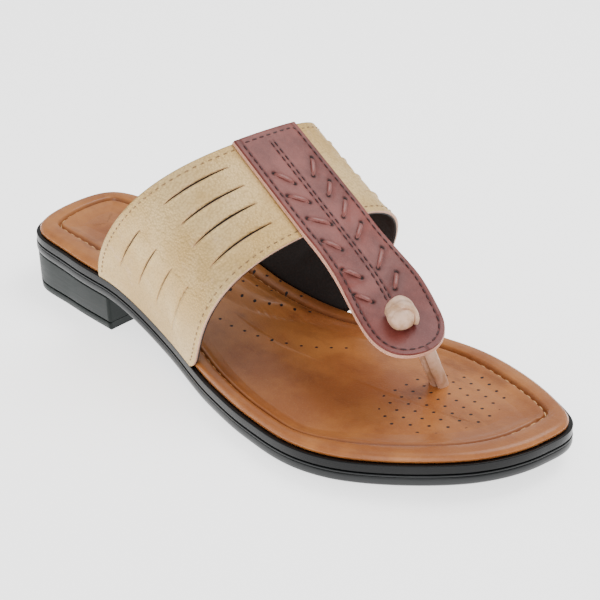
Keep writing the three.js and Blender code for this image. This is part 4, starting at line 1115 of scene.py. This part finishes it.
def laces(name, starts, ends, up, width, height, finish):
    """Flat laces from hole to hole: the section is a flattened round, the middle arches up by its height and
    swells to its full width, and both ends dive below the face."""
    t = np.linspace(0, 1, 25)
    phi = np.arange(24) * 2 * np.pi / 24
    run = ends - starts
    forward = unit(run)
    aside = unit(np.cross(up, forward))
    high = np.cross(forward, aside)
    swell = np.clip(1 - np.abs(2 * t - 1) ** 4, 0, None) ** 0.5
    lift = height * (1 - np.abs(2 * t - 1) ** 3) * 1.1 - 0.45 * height
    centre = starts[:, None] + run[:, None] * t[:, None] + high[:, None] * lift[:, None]
    wide = aside[:, None, None] * (0.5 * width * np.cos(phi))[:, None]
    tall = high[:, None, None] * (0.5 * height * np.sin(phi))[:, None]
    points = centre[:, :, None] + (wide + tall) * swell[:, None, None]
    faces = []
    for k in range(len(starts)):
        faces += grid_faces(len(t), len(phi), round_columns=True, first=k * points[0].size // 3)
    return new_piece(name, points, faces, finish, weld=0.004)


strap_laces = laces(
    "strap_laces", lace_starts[:, :3], lace_ends[:, :3], lace_starts[:, 3:], 1.7, 1.0, lace_leather,
)
for piece in (strap_thread, strap_laces):
    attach(piece, "root")


# Toe post and its knot.
# One strip of soft beige leather, folded in three along its length. It comes up out of the footbed between the
# first two toes, through a hole in the strap, and is knotted on the strap's face.

POST_WIDTH = 7.0
POST_THICKNESS = 5.2
POST_BOW = 3.0
STRAP_HOLE = 0.63
KNOT_HEIGHT = 8.8
post_x, post_y = 0.778 * SOLE_LENGTH, 0.177 * BALL_WIDTH
hole_middle, hole_forward, hole_side, hole_up = (part[0] for part in strap_frame(np.array([STRAP_HOLE])))
hole_under = hole_middle - hole_up * STRAP_THICKNESS
post_foot = np.array([post_x, post_y, edge_height(np.array(post_x)) + RIM_HEIGHT * BED_CROWN])
post_end = post_foot - (0, 0, RIM_HEIGHT * BED_CROWN + TRAY_DEPTH - 2 * CLEARANCE)
post_path = np.array([
    post_end,
    post_foot,
    mix(post_foot, hole_under, np.array([0.35, 0.33, 0.35])) + (0.7 * POST_BOW, 0, 0),
    mix(post_foot, hole_under, np.array([0.74, 0.68, 0.74])) + (POST_BOW, 0, 0),
    hole_under,
    hole_middle + hole_up * KNOT_HEIGHT / 2,
])


def strip_piece(name, path, toward, width, thickness, folds, finish, swell=None, rows=90, round_points=88):
    """Strip along a path: its section is a rounded oblong, width towards the given direction and thickness
    square to it. folds are the places of grooves on its face, as shares of the half width. The ends close by
    drawing the section together over the last rows."""
    t = np.linspace(0, 1, rows)
    centre = on_curve(path, t)
    forward = unit(on_curve(path, t + 1e-3) - on_curve(path, t - 1e-3))
    wide = unit(toward - forward * (forward @ toward)[:, None])
    thin = np.cross(forward, wide)
    phi = np.arange(round_points) * 2 * np.pi / round_points
    across = np.sign(np.cos(phi)) * np.abs(np.cos(phi)) ** 0.6
    depth = np.sign(np.sin(phi)) * np.abs(np.sin(phi)) ** 0.6
    fold_mark = sum(np.exp(-(((across - fold) / 0.13) ** 2)) for fold in folds) * np.abs(depth)
    depth = depth * (1 - 0.42 * fold_mark)
    close = np.sqrt(np.clip(1 - (1 - np.minimum(np.minimum(t, 1 - t) / 0.04, 1)) ** 2, 0.0001, 1))
    size = close * (swell(t) if swell is not None else 1.0)
    flat = wide[:, None] * (0.5 * width * across)[:, None]
    flat = flat - thin[:, None] * (0.5 * thickness * depth)[:, None]
    points = centre[:, None] + flat * size[:, None, None]
    faces = [face[::-1] for face in grid_faces(rows, round_points, round_columns=True)]
    piece = new_piece(name, points, faces, finish)
    # The "fold" attribute carries painted shade into the fold grooves.
    fold_shade_attribute = piece.data.attributes.new("fold", "FLOAT", "POINT")
    fold_shade_attribute.data.foreach_set("value", np.tile(np.clip(fold_mark, 0, 1), rows).astype(np.float32))
    return piece


post_leather = Finish("post leather", roughness=0.45, coat_weight=0.1, coat_roughness=0.3)
post_tone = post_leather.noise(5, detail=4.0, roughness=0.6)
post_grain = post_leather.noise(0.45, detail=3.0)
beige_pink = post_leather.blend(post_tone.step(0.35, 0.7), paint(222, 184, 158), paint(188, 146, 110))
fold_shade = post_leather.node("ShaderNodeAttribute", {"attribute_name": "fold"}, {}, "Fac")
beige_pink = post_leather.blend(post_grain.step(0.55, 0.8) * 0.3, beige_pink, paint(236, 208, 184))
# The folds are painted darker: painted shade in their grooves.
post_leather.set("Base Color", post_leather.blend(fold_shade * 0.7, beige_pink, paint(116, 82, 60)))
post_leather.relief(post_grain, 0.1)

post = strip_piece(
    "post_strip", post_path, np.array([1.0, 0, 0]), POST_WIDTH, POST_THICKNESS, (-0.75, 0.32), post_leather,
)
knot_seat = hole_middle + hole_up * 0.1


def on_knot(aside, ahead, up):
    """Place at the knot, in millimetres to the inner side, forward and up from its seat."""
    return knot_seat + hole_side * aside + hole_forward * ahead + hole_up * up


def knot_bead(name, middle, radii, creases, finish):
    """Bead of the knot: a rounded block, whose section is squarer than an ellipse, with shallow creases across
    its top at distances ahead of its middle."""
    polar = np.linspace(0, np.pi, 49)[:, None]
    turn = np.arange(72) * 2 * np.pi / 72
    ring = np.sin(polar) ** 0.75
    aside = ring * np.sign(np.cos(turn)) * np.abs(np.cos(turn)) ** 0.8
    ahead = ring * np.sign(np.sin(turn)) * np.abs(np.sin(turn)) ** 0.8
    up = -np.sign(np.cos(polar)) * np.abs(np.cos(polar)) ** 0.8 + 0 * turn
    dent = sum(0.1 * np.exp(-(((ahead * radii[1] - crease) / 0.38) ** 2)) for crease in creases)
    dent = dent * smooth(up, -0.2, 0.4)
    shape = np.stack([aside * radii[0], ahead * radii[1], up * radii[2]], -1) * (1 - dent)[..., None]
    place = shape + middle
    points = knot_seat + place @ np.stack([hole_side, hole_forward, hole_up])
    return new_piece(name, points, grid_faces(49, 72, round_columns=True), finish, weld=0.004)


bead = knot_bead("knot_bead", (-2.2, 0.4, 3.5), (4.4, 4.7, 3.9), (-2.2, 0.3), post_leather)
wrap_path = np.array([
    on_knot(-4.6, -2.6, 0.6), on_knot(-4.0, -2.9, 4.6), on_knot(-1.2, -2.4, 7.4), on_knot(1.9, -0.8, 6.2),
    on_knot(3.0, 0.7, 3.0), on_knot(2.3, 1.6, 0.2),
])
wrap = strip_piece(
    "knot_wrap", wrap_path, hole_forward, 5.4, 2.2, (0.1,), post_leather, rows=60, round_points=48,
)
for piece in (post, bead, wrap):
    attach(piece, "root")
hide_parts("toe_post")


# Floor and light.
# A plain pale floor under plain soft studio light: a broad light from above and behind, a softer one from the
# front, and a white surrounding.

floor_finish = Finish("pale floor", roughness=0.8, emission_strength=1.7)
floor_finish.set("Base Color", paint(250, 250, 250))
floor_finish.set("Emission Color", (1.0, 1.0, 1.0, 1.0))
floor_mesh = bpy.data.meshes.new("floor")
floor_mesh.from_pydata([(-3, -3, 0), (3, -3, 0), (3, 3, 0), (-3, 3, 0)], [], [(0, 1, 2, 3)])
floor_mesh.materials.append(floor_finish.material)
floor = bpy.data.objects.new("floor", floor_mesh)
bpy.context.scene.collection.objects.link(floor)

world = bpy.data.worlds.new("studio")
world.use_nodes = True
world.node_tree.nodes["Background"].inputs["Color"].default_value = (1, 1, 1, 1)
world.node_tree.nodes["Background"].inputs["Strength"].default_value = 0.8
bpy.context.scene.world = world


def soft_light(name, place, size, power):
    """Square area light that faces the sandal."""
    data = bpy.data.lights.new(name, "AREA")
    data.size = size
    data.energy = power
    light = bpy.data.objects.new(name, data)
    light.location = place
    light.rotation_euler = (Vector((0, 0, 0.03)) - Vector(place)).to_track_quat("-Z", "Y").to_euler()
    bpy.context.scene.collection.objects.link(light)


soft_light("overhead light", (0.15, 0.5, 1.0), 0.7, 8)
soft_light("front light", (0.6, -0.9, 0.8), 0.6, 5)


# Camera.
# It stands where the photograph was taken from and is aimed at this one sandal, with a longer lens.

CAMERA_AZIMUTH = -0.86629
CAMERA_ELEVATION = 0.46472
CAMERA_ROLL = 0.0534
CAMERA_DISTANCE = 626.1
CAMERA_TARGET = np.array([160.62, 66.04, 15.0])
FOCAL_PIXELS = 1000.65
SANDAL_PIXEL = (201.0, 299.0)
ZOOM = 1.6
FRAME_PIXELS = 600
SENSOR = 36.0

back = np.array([
    np.cos(CAMERA_AZIMUTH) * np.cos(CAMERA_ELEVATION),
    np.sin(CAMERA_AZIMUTH) * np.cos(CAMERA_ELEVATION),
    np.sin(CAMERA_ELEVATION),
])
camera_place = (CAMERA_TARGET + CAMERA_DISTANCE * back - ORIGIN) * MM
level_right = unit(np.cross(-back, [0, 0, 1]))
level_up = np.cross(level_right, -back)
photo_right = np.cos(CAMERA_ROLL) * level_right + np.sin(CAMERA_ROLL) * level_up
photo_up = np.cos(CAMERA_ROLL) * level_up - np.sin(CAMERA_ROLL) * level_right
aside = (SANDAL_PIXEL[0] - FRAME_PIXELS / 2) / FOCAL_PIXELS
above = (FRAME_PIXELS / 2 - SANDAL_PIXEL[1]) / FOCAL_PIXELS
aim = unit(photo_right * aside + photo_up * above - back)
aim_right = unit(photo_right - aim * (photo_right @ aim))
aim_up = np.cross(aim_right, aim)
camera_data = bpy.data.cameras.new("camera")
camera_data.sensor_width = SENSOR
camera_data.lens = FOCAL_PIXELS * ZOOM / FRAME_PIXELS * SENSOR
camera_data.clip_start = 0.02
camera = bpy.data.objects.new("camera", camera_data)
turned = np.eye(4)
turned[:3, :3] = np.stack([aim_right, aim_up, -aim], -1)
turned[:3, 3] = camera_place
camera.matrix_world = Matrix(turned.tolist())
bpy.context.scene.collection.objects.link(camera)
bpy.context.scene.camera = camera
